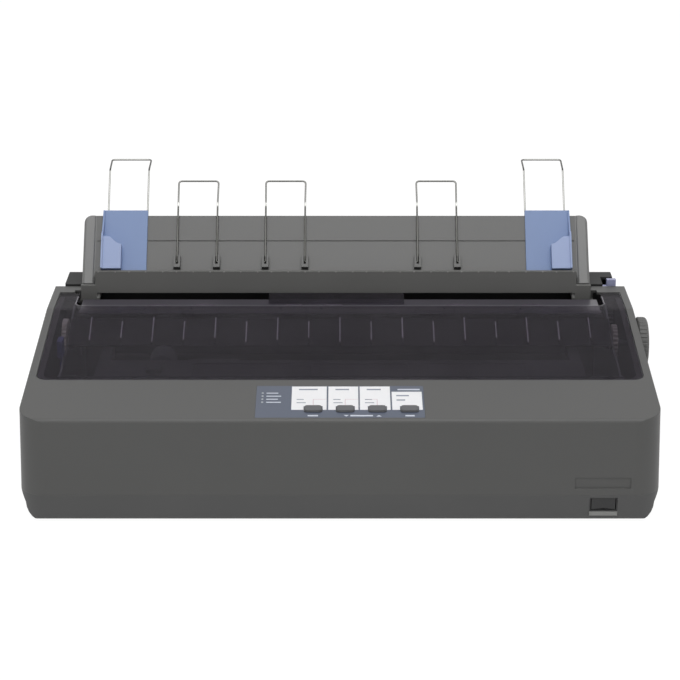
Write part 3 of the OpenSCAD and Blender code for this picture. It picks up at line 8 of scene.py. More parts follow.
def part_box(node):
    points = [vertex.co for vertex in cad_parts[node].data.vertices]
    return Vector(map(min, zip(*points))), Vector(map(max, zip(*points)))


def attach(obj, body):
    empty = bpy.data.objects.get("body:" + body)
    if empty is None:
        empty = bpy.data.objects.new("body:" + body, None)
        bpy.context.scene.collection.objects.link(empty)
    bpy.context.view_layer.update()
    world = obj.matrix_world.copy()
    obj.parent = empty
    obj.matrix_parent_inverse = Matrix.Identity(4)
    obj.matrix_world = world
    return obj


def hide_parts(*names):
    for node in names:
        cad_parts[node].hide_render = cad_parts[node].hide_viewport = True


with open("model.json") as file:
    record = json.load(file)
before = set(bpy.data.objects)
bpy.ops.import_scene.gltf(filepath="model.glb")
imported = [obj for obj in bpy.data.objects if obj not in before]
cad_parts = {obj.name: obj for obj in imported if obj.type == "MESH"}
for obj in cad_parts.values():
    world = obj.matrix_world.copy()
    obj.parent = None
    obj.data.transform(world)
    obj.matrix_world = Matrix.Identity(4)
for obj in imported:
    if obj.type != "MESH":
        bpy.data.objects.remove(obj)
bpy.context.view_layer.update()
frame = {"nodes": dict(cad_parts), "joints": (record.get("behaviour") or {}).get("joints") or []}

# Camera: a long lens set well back on the printer's middle plane and pitched
# down a little, so that the sloping top, the open paper exit and the front wall
# are all in view.
camera_data = bpy.data.cameras.new("camera")
camera_data.sensor_width = 36.0
camera_data.lens = 113.9
camera = bpy.data.objects.new("camera", camera_data)
bpy.context.scene.collection.objects.link(camera)
camera.location = (-0.005466, -2.136066, 0.8913)
camera.rotation_euler = (math.radians(70.0), 0.0, 0.0)
bpy.context.scene.camera = camera
bpy.context.scene.view_settings.view_transform = "Standard"

# Studio: a white floor and a white surround, with one broad lamp above the front
# and a weaker one at each side. The floor catches the printer's soft shadow, and
# the surround lights less than it shows, so that the greys keep their depth.


def seen_directly(tree):
    """A socket that is 1 for what the camera, a reflection or a clear part shows, and else 0."""
    rays = tree.nodes.new("ShaderNodeLightPath")
    first = tree.nodes.new("ShaderNodeMath")
    second = tree.nodes.new("ShaderNodeMath")
    first.operation = second.operation = "MAXIMUM"
    tree.links.new(rays.outputs["Is Camera Ray"], first.inputs[0])
    tree.links.new(rays.outputs["Is Glossy Ray"], first.inputs[1])
    tree.links.new(first.outputs[0], second.inputs[0])
    tree.links.new(rays.outputs["Is Transmission Ray"], second.inputs[1])
    return second.outputs[0]


world = bpy.data.worlds.new("studio")
bpy.context.scene.world = world
world.use_nodes = True
sky = world.node_tree
level = sky.nodes.new("ShaderNodeMapRange")
level.inputs["To Min"].default_value = 0.34
level.inputs["To Max"].default_value = 1.0
sky.links.new(seen_directly(sky), level.inputs["Value"])
sky.nodes["Background"].inputs["Color"].default_value = (1.0, 1.0, 1.0, 1.0)
sky.links.new(level.outputs["Result"], sky.nodes["Background"].inputs["Strength"])

bpy.ops.mesh.primitive_plane_add(size=14.0, location=(0.0, 1.0, -0.0004))
floor = bpy.context.object
floor.name = "floor"
floor_white = bpy.data.materials.new("floor_white")
floor_white.use_nodes = True
tree = floor_white.node_tree
matt = tree.nodes["Principled BSDF"]
matt.inputs["Base Color"].default_value = (0.9, 0.9, 0.9, 1.0)
matt.inputs["Roughness"].default_value = 0.9
glow = tree.nodes.new("ShaderNodeEmission")
glow.inputs["Strength"].default_value = 1.12
share = tree.nodes.new("ShaderNodeMath")
share.operation = "MULTIPLY"
share.inputs[1].default_value = 0.86
blend = tree.nodes.new("ShaderNodeMixShader")
tree.links.new(seen_directly(tree), share.inputs[0])
tree.links.new(share.outputs[0], blend.inputs["Fac"])
tree.links.new(matt.outputs["BSDF"], blend.inputs[1])
tree.links.new(glow.outputs["Emission"], blend.inputs[2])
tree.links.new(blend.outputs["Shader"], tree.nodes["Material Output"].inputs["Surface"])
floor.data.materials.append(floor_white)


def lamp(name, place, size, watts):
    """A square soft box at place that points at the middle of the printer."""
    data = bpy.data.lights.new(name, "AREA")
    data.shape = "SQUARE"
    data.size = size
    data.energy = watts
    made = bpy.data.objects.new(name, data)
    bpy.context.scene.collection.objects.link(made)
    made.location = place
    made.rotation_euler = (Vector((0.0, 0.0, 0.08)) - Vector(place)).to_track_quat("-Z", "Y").to_euler()


lamp("lamp_top", (0.0, -0.7, 2.2), 1.8, 29.5)
lamp("lamp_left", (-1.9, -1.3, 1.1), 1.2, 2.0)
lamp("lamp_right", (1.9, -1.3, 1.1), 1.2, 2.0)

# Lower case: the dark tray that the printer stands on, injection moulded with a
# fine spark-eroded texture. It carries the chassis and closes the housing.


def linear(code):
    """A screen colour written as #rrggbb, as the linear colour that the shaders use."""
    parts = [int(code[i:i + 2], 16) / 255 for i in (1, 3, 5)]
    return [c / 12.92 if c <= 0.04045 else ((c + 0.055) / 1.055) ** 2.4 for c in parts] + [1.0]


def grained(material, scale, depth, rounding, stretch=(1.0, 1.0, 1.0)):
    """Adds a grain to a material: scale is its grains per metre, depth its height in metres, and
    rounding the radius in metres that the light finds on every edge. Returns the place on the
    piece, and a socket that is 1 on its edges."""
    nodes, links = material.node_tree.nodes, material.node_tree.links
    shader = nodes["Principled BSDF"]
    place = nodes.new("ShaderNodeTexCoord")
    turn = nodes.new("ShaderNodeMapping")
    turn.inputs["Scale"].default_value = stretch
    grain = nodes.new("ShaderNodeTexNoise")
    grain.inputs["Scale"].default_value = scale
    grain.inputs["Detail"].default_value = 3.0
    rounded = nodes.new("ShaderNodeBevel")
    rounded.samples = 4
    rounded.inputs["Radius"].default_value = rounding
    bump = nodes.new("ShaderNodeBump")
    bump.inputs["Strength"].default_value = 0.6
    bump.inputs["Distance"].default_value = depth
    surface = nodes.new("ShaderNodeNewGeometry")
    turned = nodes.new("ShaderNodeVectorMath")
    turned.operation = "DOT_PRODUCT"
    edge = nodes.new("ShaderNodeMapRange")
    edge.inputs["From Min"].default_value = 0.98
    edge.inputs["From Max"].default_value = 0.80
    links.new(place.outputs["Object"], turn.inputs["Vector"])
    links.new(turn.outputs["Vector"], grain.inputs["Vector"])
    links.new(grain.outputs["Fac"], bump.inputs["Height"])
    links.new(rounded.outputs["Normal"], bump.inputs["Normal"])
    links.new(bump.outputs["Normal"], shader.inputs["Normal"])
    links.new(rounded.outputs["Normal"], turned.inputs[0])
    links.new(surface.outputs["Normal"], turned.inputs[1])
    links.new(turned.outputs["Value"], edge.inputs["Value"])
    return turn.outputs["Vector"], edge.outputs["Result"]


def shaded(material, pattern, low, high, edge, painted_edge_highlight):
    """Colours a material from low to high along a pattern, and towards a paler colour on its edges, a painted
    highlight that partly stands for wear too.
    """
    nodes, links = material.node_tree.nodes, material.node_tree.links
    tint = nodes.new("ShaderNodeValToRGB")
    tint.color_ramp.elements[0].position = 0.3
    tint.color_ramp.elements[0].color = low
    tint.color_ramp.elements[1].position = 0.7
    tint.color_ramp.elements[1].color = high
    edge_highlight_mix = nodes.new("ShaderNodeMix")
    edge_highlight_mix.data_type = "RGBA"
    edge_highlight_mix.inputs["B"].default_value = painted_edge_highlight
    links.new(pattern, tint.inputs["Fac"])
    links.new(edge, edge_highlight_mix.inputs["Factor"])
    links.new(tint.outputs["Color"], edge_highlight_mix.inputs["A"])
    links.new(edge_highlight_mix.outputs["Result"], nodes["Principled BSDF"].inputs["Base Color"])


def times(colour, factor):
    """A linear colour made lighter or darker by a factor."""
    return [min(c * factor, 1.0) for c in colour[:3]] + [1.0]


def moulded(name, colour, roughness=0.5, drift=0.06, texture=900.0, depth=0.00002, rounding=0.0006, edge_wear_and_highlight=1.25,
            clouds=14.0, shine=0.5):
    """Moulded plastic whose colour and gloss drift a little from place to place. Its edges are made paler
    by the edge factor: a painted highlight, which partly stands for wear too. Clouds is the number of
    drifts per metre, and shine how much of the light its skin throws back."""
    material = bpy.data.materials.new(name)
    material.use_nodes = True
    nodes, links = material.node_tree.nodes, material.node_tree.links
    place, edge = grained(material, texture, depth, rounding)
    cloud = nodes.new("ShaderNodeTexNoise")
    cloud.inputs["Scale"].default_value = clouds
    cloud.inputs["Detail"].default_value = 5.0
    gloss = nodes.new("ShaderNodeMapRange")
    gloss.inputs["To Min"].default_value = roughness - 0.05
    gloss.inputs["To Max"].default_value = roughness + 0.05
    links.new(place, cloud.inputs["Vector"])
    links.new(cloud.outputs["Fac"], gloss.inputs["Value"])
    links.new(gloss.outputs["Result"], nodes["Principled BSDF"].inputs["Roughness"])
    nodes["Principled BSDF"].inputs["Specular IOR Level"].default_value = shine
    base = linear(colour)
    shaded(material, cloud.outputs["Fac"], times(base, 1.0 - drift), times(base, 1.0 + drift), edge,
           times(base, edge_wear_and_highlight))
    return material


def finish_nodes(material, *names):
    """Gives CAD nodes, which keep their shape, their real finish."""
    for name in names:
        for holder in frame["nodes"][name].material_slots:
            holder.material = material


finish_nodes(moulded("case_dark", "#4e4e4e", 0.55), "lower_case")

# Feet: four soft rubber pads pressed into pockets of the tray. The rubber is
# matt and slightly dusty.
finish_nodes(moulded("foot_rubber", "#1d1d1d", 0.8, 0.15, 500.0, 0.00004), "rubber_feet")

# Chassis and side frames: zinc-plated sheet steel, folded and punched. Rolling
# leaves fine streaks along the sheet.


def metal(name, colour, roughness, stretch=(1.0, 1.0, 1.0), scale=300.0, depth=0.00001, rounding=0.0003):
    """Bare or plated metal with a grain that stretch draws out into streaks."""
    material = bpy.data.materials.new(name)
    material.use_nodes = True
    nodes, links = material.node_tree.nodes, material.node_tree.links
    nodes["Principled BSDF"].inputs["Metallic"].default_value = 1.0
    place, edge = grained(material, scale, depth, rounding, stretch)
    streak = nodes.new("ShaderNodeTexNoise")
    streak.inputs["Scale"].default_value = scale / 4
    streak.inputs["Detail"].default_value = 4.0
    gloss = nodes.new("ShaderNodeMapRange")
    gloss.inputs["To Min"].default_value = roughness - 0.06
    gloss.inputs["To Max"].default_value = roughness + 0.06
    links.new(place, streak.inputs["Vector"])
    links.new(streak.outputs["Fac"], gloss.inputs["Value"])
    links.new(gloss.outputs["Result"], nodes["Principled BSDF"].inputs["Roughness"])
    base = linear(colour)
    # edges are painted 15 percent paler: a painted highlight, partly also wear
    shaded(material, streak.outputs["Fac"], times(base, 0.86), base, edge, times(base, 1.15))
    return material


zinc_sheet = metal("zinc_sheet", "#84878a", 0.42, (0.15, 1.0, 1.0))
finish_nodes(zinc_sheet, "chassis", "side_frame_left", "side_frame_right", "carriage_rail")
finish_nodes(metal("screw_zinc", "#c3c4c6", 0.3), "screws")

# Boards: green glass-fibre for the logic and the panel, and a tan one for the
# mains supply, standing on bosses of the tray. Their parts are black, and the
# connectors at the rear have plated shells; the mains inlet is black.


def tinted(material, direction, start, end, colour):
    """Turns a material to another colour where the place along a direction passes from start to end,
    in metres."""
    nodes, links = material.node_tree.nodes, material.node_tree.links
    place = nodes.new("ShaderNodeTexCoord")
    along = nodes.new("ShaderNodeVectorMath")
    along.operation = "DOT_PRODUCT"
    along.inputs[1].default_value = direction
    past = nodes.new("ShaderNodeMapRange")
    past.inputs["From Min"].default_value = start
    past.inputs["From Max"].default_value = end
    mixed = nodes.new("ShaderNodeMix")
    mixed.data_type = "RGBA"
    mixed.inputs["B"].default_value = linear(colour)
    base = nodes["Principled BSDF"].inputs["Base Color"]
    links.new(place.outputs["Object"], along.inputs[0])
    links.new(along.outputs["Value"], past.inputs["Value"])
    links.new(base.links[0].from_socket, mixed.inputs["A"])
    links.new(past.outputs["Result"], mixed.inputs["Factor"])
    links.new(mixed.outputs["Result"], base)


board_green = "#2c5a3c"
board_top = 0.0176
connector_depth = 0.022
for name, colour, connector in [("main_board", board_green, "#8d8f92"), ("power_supply", "#9b7a4c", "#262628")]:
    board = moulded("finish_" + name, colour, 0.35, 0.12, 260.0)
    connector_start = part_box(name)[1].y - connector_depth
    tinted(board, (0.0, 0.0, 1.0), board_top + 0.0003, board_top + 0.0005, "#2b2c2f")
    tinted(board, (0.0, 1.0, 0.0), connector_start, connector_start + 0.0001, connector)
    finish_nodes(board, name)
finish_nodes(moulded("finish_panel_board", board_green, 0.35, 0.12, 260.0), "panel_board")

# Feed train: a rubber platen on a steel shaft, driven by moulded gears from the
# motor at the left. The tractors and the exit rollers take their drive from it.
finish_nodes(moulded("platen_rubber", "#1b1b1c", 0.6, 0.08, 1200.0), "platen", "timing_belt")
finish_nodes(moulded("roller_rubber", "#3a3638", 0.6, 0.1), "exit_shaft", "exit_idlers")
ground_steel = metal("ground_steel", "#c2c5c9", 0.22, (0.05, 1.0, 1.0), 500.0)
finish_nodes(ground_steel, "platen_shaft", "tractor_shaft", "tractor_rail", "carriage_shaft", "drive_pulley",
             "idler_pulley")
gear_plastic = moulded("gear_plastic", "#d6d3c8", 0.4, 0.04)
finish_nodes(gear_plastic, "platen_gear", "exit_drive_gear", "reduction_gear", "tractor_idler",
             "sprocket_left", "sprocket_right")
finish_nodes(moulded("gear_black", "#38383b", 0.45, 0.05), "exit_idler_gear")
finish_nodes(metal("pinion_brass", "#c9a75a", 0.3), "motor_pinion")
finish_nodes(moulded("motor_paint", "#45464a", 0.4, 0.05), "feed_motor", "carriage_motor")
finish_nodes(moulded("tractor_black", "#333336", 0.5, 0.08), "tractor_left", "tractor_right")

# Carriage: it runs on a ground shaft in front of the platen and holds the print
# head, whose finned alloy body sheds heat. The ribbon lies in front in its
# cartridge, and a black ribbed guide leads the paper from the platen to the exit.
finish_nodes(moulded("carriage_black", "#2a2b2e", 0.5, 0.08), "carriage")
finish_nodes(metal("head_alloy", "#76797e", 0.5, (1.0, 1.0, 1.0), 700.0, 0.00004), "print_head")
finish_nodes(moulded("cartridge_black", "#242427", 0.42, 0.06), "ribbon_cartridge", "ribbon_knob")
# the black guide's rib edges are painted seven times paler: a painted highlight on the rib tops
finish_nodes(moulded("sheet_guide_black_edge_highlight", "#242227", 0.6, 0.06, edge_wear_and_highlight=7.0, shine=0.08), "exit_guide")

# Upper housing and rear cover: the large grey shell, with the same fine texture
# as the tray but lighter, and the darker hood over the tractors behind it. The
# shell is screwed to the tray from below, and the hood drops onto its ledge.
finish_nodes(moulded("case_grey", "#50504f", 0.5, 0.03, 900.0, 0.00002, 0.001, 1.12), "upper_housing")
finish_nodes(moulded("hood_grey", "#303030", 0.55, 0.04, 900.0, 0.00002, 0.001, 1.3, shine=0.15), "rear_cover")

# Control label: a printed film in a shallow recess of the slope, slate blue with
# four white fields above the buttons. Its legends are plain bars, and it has a
# column of four small lamps at the left.
mm = 0.001
label_low, label_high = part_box("panel_label")
label_film = 0.5 * mm
slope = math.atan2(label_high.z - label_low.z - label_film, label_high.y - label_low.y)
on_label = (Matrix.Translation(((label_low.x + label_high.x) / 2, label_low.y, label_low.z + label_film))
            @ Matrix.Rotation(slope, 4, "X"))
finish_nodes(moulded("label_slate", "#535b6c", 0.38, 0.03, 1600.0, 0.00001, 0.0001), "panel_label")


def plate(name, outline, base, thick, place, material, body, edge=0.0):
    """A flat piece: its outline in millimetres, extruded from base by thick along the place's own z,
    with its top edge chamfered by edge."""
    mesh = bmesh.new()
    rim = [mesh.verts.new((x * mm, y * mm, base * mm)) for x, y in outline]
    bottom = mesh.faces.new(rim)
    raised = bmesh.ops.extrude_face_region(mesh, geom=[bottom])["geom"]
    lifted = [g for g in raised if isinstance(g, bmesh.types.BMVert)]
    bmesh.ops.translate(mesh, verts=lifted, vec=(0.0, 0.0, thick * mm))
    bmesh.ops.recalc_face_normals(mesh, faces=mesh.faces)
    if edge:
        top = [e for e in mesh.edges if all(v in lifted for v in e.verts)]
        bmesh.ops.bevel(mesh, geom=top, offset=edge * mm, segments=2, affect="EDGES", profile=0.5)
    return keep(name, mesh, place, material, body)


def keep(name, mesh, place, material, body):
    """Turns a finished mesh into a piece of one material that rides on a body."""
    mesh.transform(place)
    data = bpy.data.meshes.new(name)
    mesh.to_mesh(data)
    mesh.free()
    data.materials.append(material)
    made = bpy.data.objects.new(name, data)
    bpy.context.scene.collection.objects.link(made)
    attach(made, body)
    return made


def rectangle(x0, x1, y0, y1):
    """The outline of a rectangle."""
    return [(x0, y0), (x1, y0), (x1, y1), (x0, y1)]


def joined(name, parts):
    """Joins pieces of one body into a single piece."""
    for part in bpy.context.selected_objects:
        part.select_set(False)
    for part in parts:
        part.select_set(True)
    bpy.context.view_layer.objects.active = parts[0]
    bpy.ops.object.join()
    parts[0].name = name
    return parts[0]


def ink(name, colour, roughness=0.45, drift=0.04):
    """One colour of the print on the label."""
    return moulded(name, colour, roughness, drift, 1600.0, 0.000005, 0.0001)


ink_rise = 0.04


def printed(name, outline, material, base=0.0, thick=ink_rise):
    """A printed patch on the label, in millimetres from the middle of its front edge."""
    return plate(name, outline, base, thick, on_label, material, "case")


ink_white = ink("ink_white", "#fafafc", 0.4, 0.01)
ink_dark = ink("ink_dark", "#8f95a2")
ink_pale = ink("ink_pale", "#d3d8e3")
ink_rose = ink("ink_rose", "#c9a3ad")
on_field = {"base": ink_rise, "thick": 0.02}
button_middles = [-26.3 + 31.4 * i for i in range(4)]
button_half = 9.3
button_top = 23.0
field_foot = 15.5
field_ends = [(-47.6, -13.1), (-11.5, 18.0), (19.5, 49.4), (51.0, 80.7)]
field_tops = [63.0, 63.0, 63.0, 52.2]

fields = []
for (left, right), top, middle in zip(field_ends, field_tops, button_middles):
    key_left, key_right = middle - button_half, middle + button_half
    outline = [(left, field_foot), (key_left, field_foot), (key_left, button_top), (key_right, button_top),
               (key_right, field_foot), (right, field_foot), (right, top), (left, top)]
    fields.append(printed("field", outline, ink_white))
joined("label_fields", fields)

# each field's bars: start and end across, foot and height
legends = []
for i, ((left, right), top) in enumerate(zip(field_ends, field_tops)):
    if i < 3:
        bars = [(left + 5, left + 14, 29.0, 1.5), (left + 5, left + 12, 35.5, 1.5),
                (left + 7, right - 9, top - 7.5, 2.6)]
    else:
        bars = [(left + 4.5, left + 17, 43.0, 2.4), (left + 4.5, left + 13, 34.0, 2.4)]
    for x0, x1, y, tall in bars:
        legends.append(printed("legend", rectangle(x0, x1, y, y + tall), ink_dark, **on_field))
joined("label_legends", legends)

# thin rules that lead from three of the buttons up and across to the next words
rule_top = 37.0
rule_width = 0.4
leads = []
for middle, reach in zip(button_middles, (12.5, 12.5, -11.0)):
    upright = rectangle(middle - rule_width / 2, middle + rule_width / 2, button_top + 0.6, rule_top)
    across = sorted((middle, middle + reach))
    level_rule = rectangle(*across, rule_top - rule_width, rule_top)
    leads += [printed("lead", outline, ink_rose, **on_field) for outline in (upright, level_rule)]
joined("label_leads", leads)

# captions beside the lamps, under the buttons and over the fourth field, and two arrows
lamp_rows = [30.7 + 6.2 * row for row in range(4)]
captions = [printed("caption", rectangle(-72.5, -58.0 - 3 * (row % 2), y - 0.9, y + 0.9), ink_pale)
            for row, y in enumerate(lamp_rows)]
for middle, half, y in [(-26.3, 5.0, 2.6), (21.0, 11.0, 2.6), (67.9, 4.5, 2.6), (68.0, 11.0, 55.5)]:
    captions.append(printed("caption", rectangle(middle - half, middle + half, y, y + 2.6), ink_pale))
for arrow in ([(3.5, 5.2), (6.1, 2.2), (8.7, 5.2)], [(35.2, 2.2), (40.4, 2.2), (37.8, 5.2)]):
    captions.append(printed("caption", arrow, ink_pale))
joined("label_captions", captions)

lamp_clear = moulded("lamp_clear", "#c6cbcf", 0.25, 0.05, 900.0, 0.00001, 0.0002)
lamp_radius = 1.1
lamps = []
for y in lamp_rows:
    ring = [(-76.3 + lamp_radius * math.cos(t * math.pi / 8), y + lamp_radius * math.sin(t * math.pi / 8))
            for t in range(16)]
    lamps.append(plate("lens", ring, 0.0, 0.3, on_label, lamp_clear, "case", 0.15))
joined("panel_lamps", lamps)

# Buttons: four soft-touch keys with rounded corners that stand a little proud of
# the label and press down on switches on the board below.
finish_nodes(moulded("key_grey", "#57585b", 0.42, 0.05, 900.0, 0.00001, 0.0006),
             "button_1", "button_2", "button_3", "button_4")

# Power switch: a black frame snapped into the front of the tray, with a rocker
# that tips about its middle. A paler sill is moulded under it.
finish_nodes(moulded("switch_black", "#202021", 0.3, 0.05, 900.0, 0.00001, 0.0004),
             "switch_frame", "power_rocker")
frame_low, frame_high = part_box("switch_frame")
on_front = (Matrix.Translation((0.0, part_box("lower_case")[0].y + 0.7 * mm, frame_low.z - 2.6 * mm))
            @ Matrix.Rotation(math.pi / 2, 4, "X"))
sill_grey = moulded("sill_grey", "#8a8a88", 0.4, 0.04, 900.0, 0.00001, 0.0004)
plate("switch_sill", rectangle(frame_low.x / mm - 0.2, frame_high.x / mm + 0.2, -2.2, 2.2), 0.0, 0.5, on_front,
      sill_grey, "case", 0.3)

# Printer cover: one sheet of smoke-tinted acrylic with a notch for the paper exit
# and two barrels that turn on pins behind it. It is polished on both faces. Its
# edges are painted paler, and pale strips lie along the notch's cut edge: both are
# painted highlights.
smoke = bpy.data.materials.new("smoke_acrylic")
smoke.use_nodes = True
nodes, links = smoke.node_tree.nodes, smoke.node_tree.links
shader = nodes["Principled BSDF"]
shader.inputs["Transmission Weight"].default_value = 0.95
shader.inputs["IOR"].default_value = 1.06
place, edge = grained(smoke, 120.0, 0.000004, 0.0009)
haze = nodes.new("ShaderNodeTexNoise")
haze.inputs["Scale"].default_value = 9.0
gloss = nodes.new("ShaderNodeMapRange")
gloss.inputs["To Min"].default_value = 0.02
gloss.inputs["To Max"].default_value = 0.07
links.new(place, haze.inputs["Vector"])
links.new(haze.outputs["Fac"], gloss.inputs["Value"])
links.new(gloss.outputs["Result"], shader.inputs["Roughness"])
# the pale colour on the acrylic's edges is a painted highlight on its rim
smoke_low, smoke_high, smoke_edge_highlight = [0.31, 0.29, 0.33, 1.0], [0.37, 0.35, 0.39, 1.0], [0.62, 0.60, 0.64, 1.0]
shaded(smoke, haze.outputs["Fac"], smoke_low, smoke_high, edge, smoke_edge_highlight)
finish_nodes(smoke, "printer_cover", "tear_off_bar")

cover_low, cover_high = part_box("printer_cover")
cover_middle = (cover_low.x + cover_high.x) / 2
on_cover = Matrix.Translation((cover_middle, 0.0, 0.0))
cover_top = 138.6
notch_half = 283.0
notch_front = 39.3
corner = 7.0
highlight_strip_width = 0.9
highlight_strip_turns = [math.pi / 16 * t for t in range(9)]
# pale strips along the notch's front edge, round its corners and up its flanks: painted highlights
outlines = [rectangle(-notch_half + corner, notch_half - corner, notch_front - 1.3, notch_front)]
for side in (-1, 1):
    outlines.append([(side * (notch_half - corner + r * math.sin(a)), notch_front + corner - r * math.cos(a))
                     for r, turns in [(corner, highlight_strip_turns), (corner + highlight_strip_width, highlight_strip_turns[::-1])]
                     for a in turns])
    flank = sorted((side * notch_half, side * (notch_half + highlight_strip_width)))
    outlines.append(rectangle(*flank, notch_front + corner, notch_front + 30))
painted_notch_highlight = moulded("painted_notch_highlight", "#6d6a72", 0.2, 0.12, 400.0, 0.000005, 0.0002)
joined("cover_notch_highlight", [plate("notch_highlight_strip", outline, cover_top, 0.15, on_cover, painted_notch_highlight, "printer_cover")
                            for outline in outlines])

# Exit guide's ribs: moulded in one with the black guide, one every 33 mm. Pale
# strips on their running edges are painted highlights, where the rib tops catch the light.
ramp_low, ramp_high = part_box("exit_guide")
rib_rise = 16 * mm
rib_run = ramp_high.y - 2.8 * mm - ramp_low.y
on_rib = (Matrix.Translation((cover_middle, ramp_low.y, ramp_high.z - rib_rise))
          @ Matrix.Rotation(math.atan2(rib_rise, rib_run), 4, "X"))
rib_pitch = 33
rib_half = 0.6
# pale strips on the rib tops: painted highlights
rib_painted_highlight = moulded("rib_painted_highlight", "#c6c3ca", 0.4, 0.1, 900.0, 0.00001, 0.0001)
painted_edge_highlight = []
for i in range(-8, 9):
    streak = rectangle(rib_pitch * i - rib_half, rib_pitch * i + rib_half, 2 + i % 3 * 3, 39 - i % 2 * 6)
    painted_edge_highlight.append(plate("rib_highlight_strip", streak, -0.1, 0.25, on_rib, rib_painted_highlight, "case"))
joined("exit_rib_highlights", painted_edge_highlight)

# Exit apron: a smoke-tinted strip that snaps in over the exit rollers, moulded
# with an arched rib round each pair of rollers.
flat = Matrix.Identity(4)
apron_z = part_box("exit_idlers")[1].z / mm + 1.4
apron_thick = 1.0
apron_smoke = moulded("apron_smoke", "#45424a", 0.3, 0.1, 300.0, 0.00001, 0.0006, 1.6)
plate("exit_apron", rectangle(-284.0, 273.0, 27.0, 73.0), apron_z, apron_thick, flat, apron_smoke, "case", 0.3)
rib_smoke = moulded("rib_smoke", "#5d5662", 0.25, 0.1, 300.0, 0.00001, 0.0006, 1.8)
roller_middles = [-196, -146, -50, -7, 125, 206]
case_shift = -5.5
arch_foot = 44.0
arch_flat = 0.9
arch_inner, arch_outer = 13, 14.4
arch_step = 0.4
arches = []
for x in roller_middles:
    for turn in range(9):
        angle = math.pi * turn / 8
        corners = [(arch_inner, angle), (arch_inner, angle + arch_step), (arch_outer, angle + arch_step),
                   (arch_outer, angle)]
        outline = [(x + case_shift + r * math.cos(a), arch_foot + arch_flat * r * math.sin(a))
                   for r, a in corners]
        arches.append(plate("rib", outline, apron_z + apron_thick, 0.8, flat, rib_smoke, "case"))
joined("apron_ribs", arches)

# Sheet guide: the dark band behind the exit, and the lighter leaning panel that
# turns on pins in the band's cheeks. The panel has a hollow post at each end, and
# small pips stand along the band's lip.
# the band's edges are painted 2.2 times paler: a painted highlight along its lip
finish_nodes(moulded("band_grey", "#6a6a68", 0.5, 0.04, 900.0, 0.00002, 0.0008, 2.2), "guide_base")
guide_low, guide_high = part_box("paper_guide")
guide_middle = (guide_low.x + guide_high.x) / 2
panel_half = 263.4 * mm
panel_grey_and_post_highlight = moulded("panel_grey_and_post_highlight", "#50504f", 0.36, 0.09, 700.0, 0.00001, 0.0008, 1.15, 9.0)
# the posts are painted paler than the panel: a painted highlight for the light their rounded fronts catch
for side in (-1, 1):
    post_highlight_start = side * guide_middle + panel_half
    tinted(panel_grey_and_post_highlight, (side, 0.0, 0.0), post_highlight_start, post_highlight_start + 0.0001, "#717170")
finish_nodes(panel_grey_and_post_highlight, "paper_guide")

pip_grey = moulded("pip_grey", "#9a9a97", 0.45, 0.05, 900.0, 0.00001, 0.0002)
pip_pitch = 17.2
band_low, band_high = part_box("guide_base")
pips = []
for i in range(-15, 16):
    from_middle = pip_pitch * i + 1.3 * math.sin(2.1 * i)
    if abs(from_middle) < 262:
        on_lip = (Matrix.Translation((guide_middle + from_middle * mm, band_low.y, band_high.z - 0.9 * mm))
                  @ Matrix.Rotation(math.pi / 2, 4, "X"))
        pips.append(plate("pip", rectangle(-0.7, 0.7, -0.45, 0.55), 0.0, 0.3, on_lip, pip_grey, "case", 0.15))
joined("band_pips", pips)

# Edge guides: two blue slides on the panel's top edge, one for each side of the
# sheet, with a raised grip and a thin fence. The grip, where it stands out of the panel, is coloured paler.
guide_joint = next(j for j in frame["joints"] if j["name"] == "guide_fold")
hinge = Vector(guide_joint["pos_m"])
lean = math.radians(38.5)
on_guide = Matrix.Translation((guide_middle, hinge.y, hinge.z)) @ Matrix.Rotation(-lean, 4, "X")
slide_blue = moulded("slide_blue", "#748ab4", 0.42, 0.03, 900.0, 0.00001, 0.0008, 1.3)
out_of_panel = Vector((0.0, -math.cos(lean), math.sin(lean)))
panel_plane = out_of_panel.dot(hinge)
tinted(slide_blue, out_of_panel, panel_plane + 12.0 * mm, panel_plane + 21.5 * mm, "#95a5cb")
finish_nodes(slide_blue, "edge_guide_left", "edge_guide_right")

# Wire supports: bent from one length of plated spring wire each. The legs run up
# from a turned foot, kick back at a bend and close in a rounded top. They snap
# into clips on the panel and on the edge guides, and turn in them.
support_loop = {"depth": -11.5, "foot_height": 24.0, "bend": 94.0, "reach": (6.16, 28.0), "foot": 3.3}
edge_loop = {"depth": -0.9, "foot_height": 78.0, "bend": 137.5, "reach": (21.5, 21.5), "foot": -5.6}
wire_radius = 1.0
loop_half = 21.65


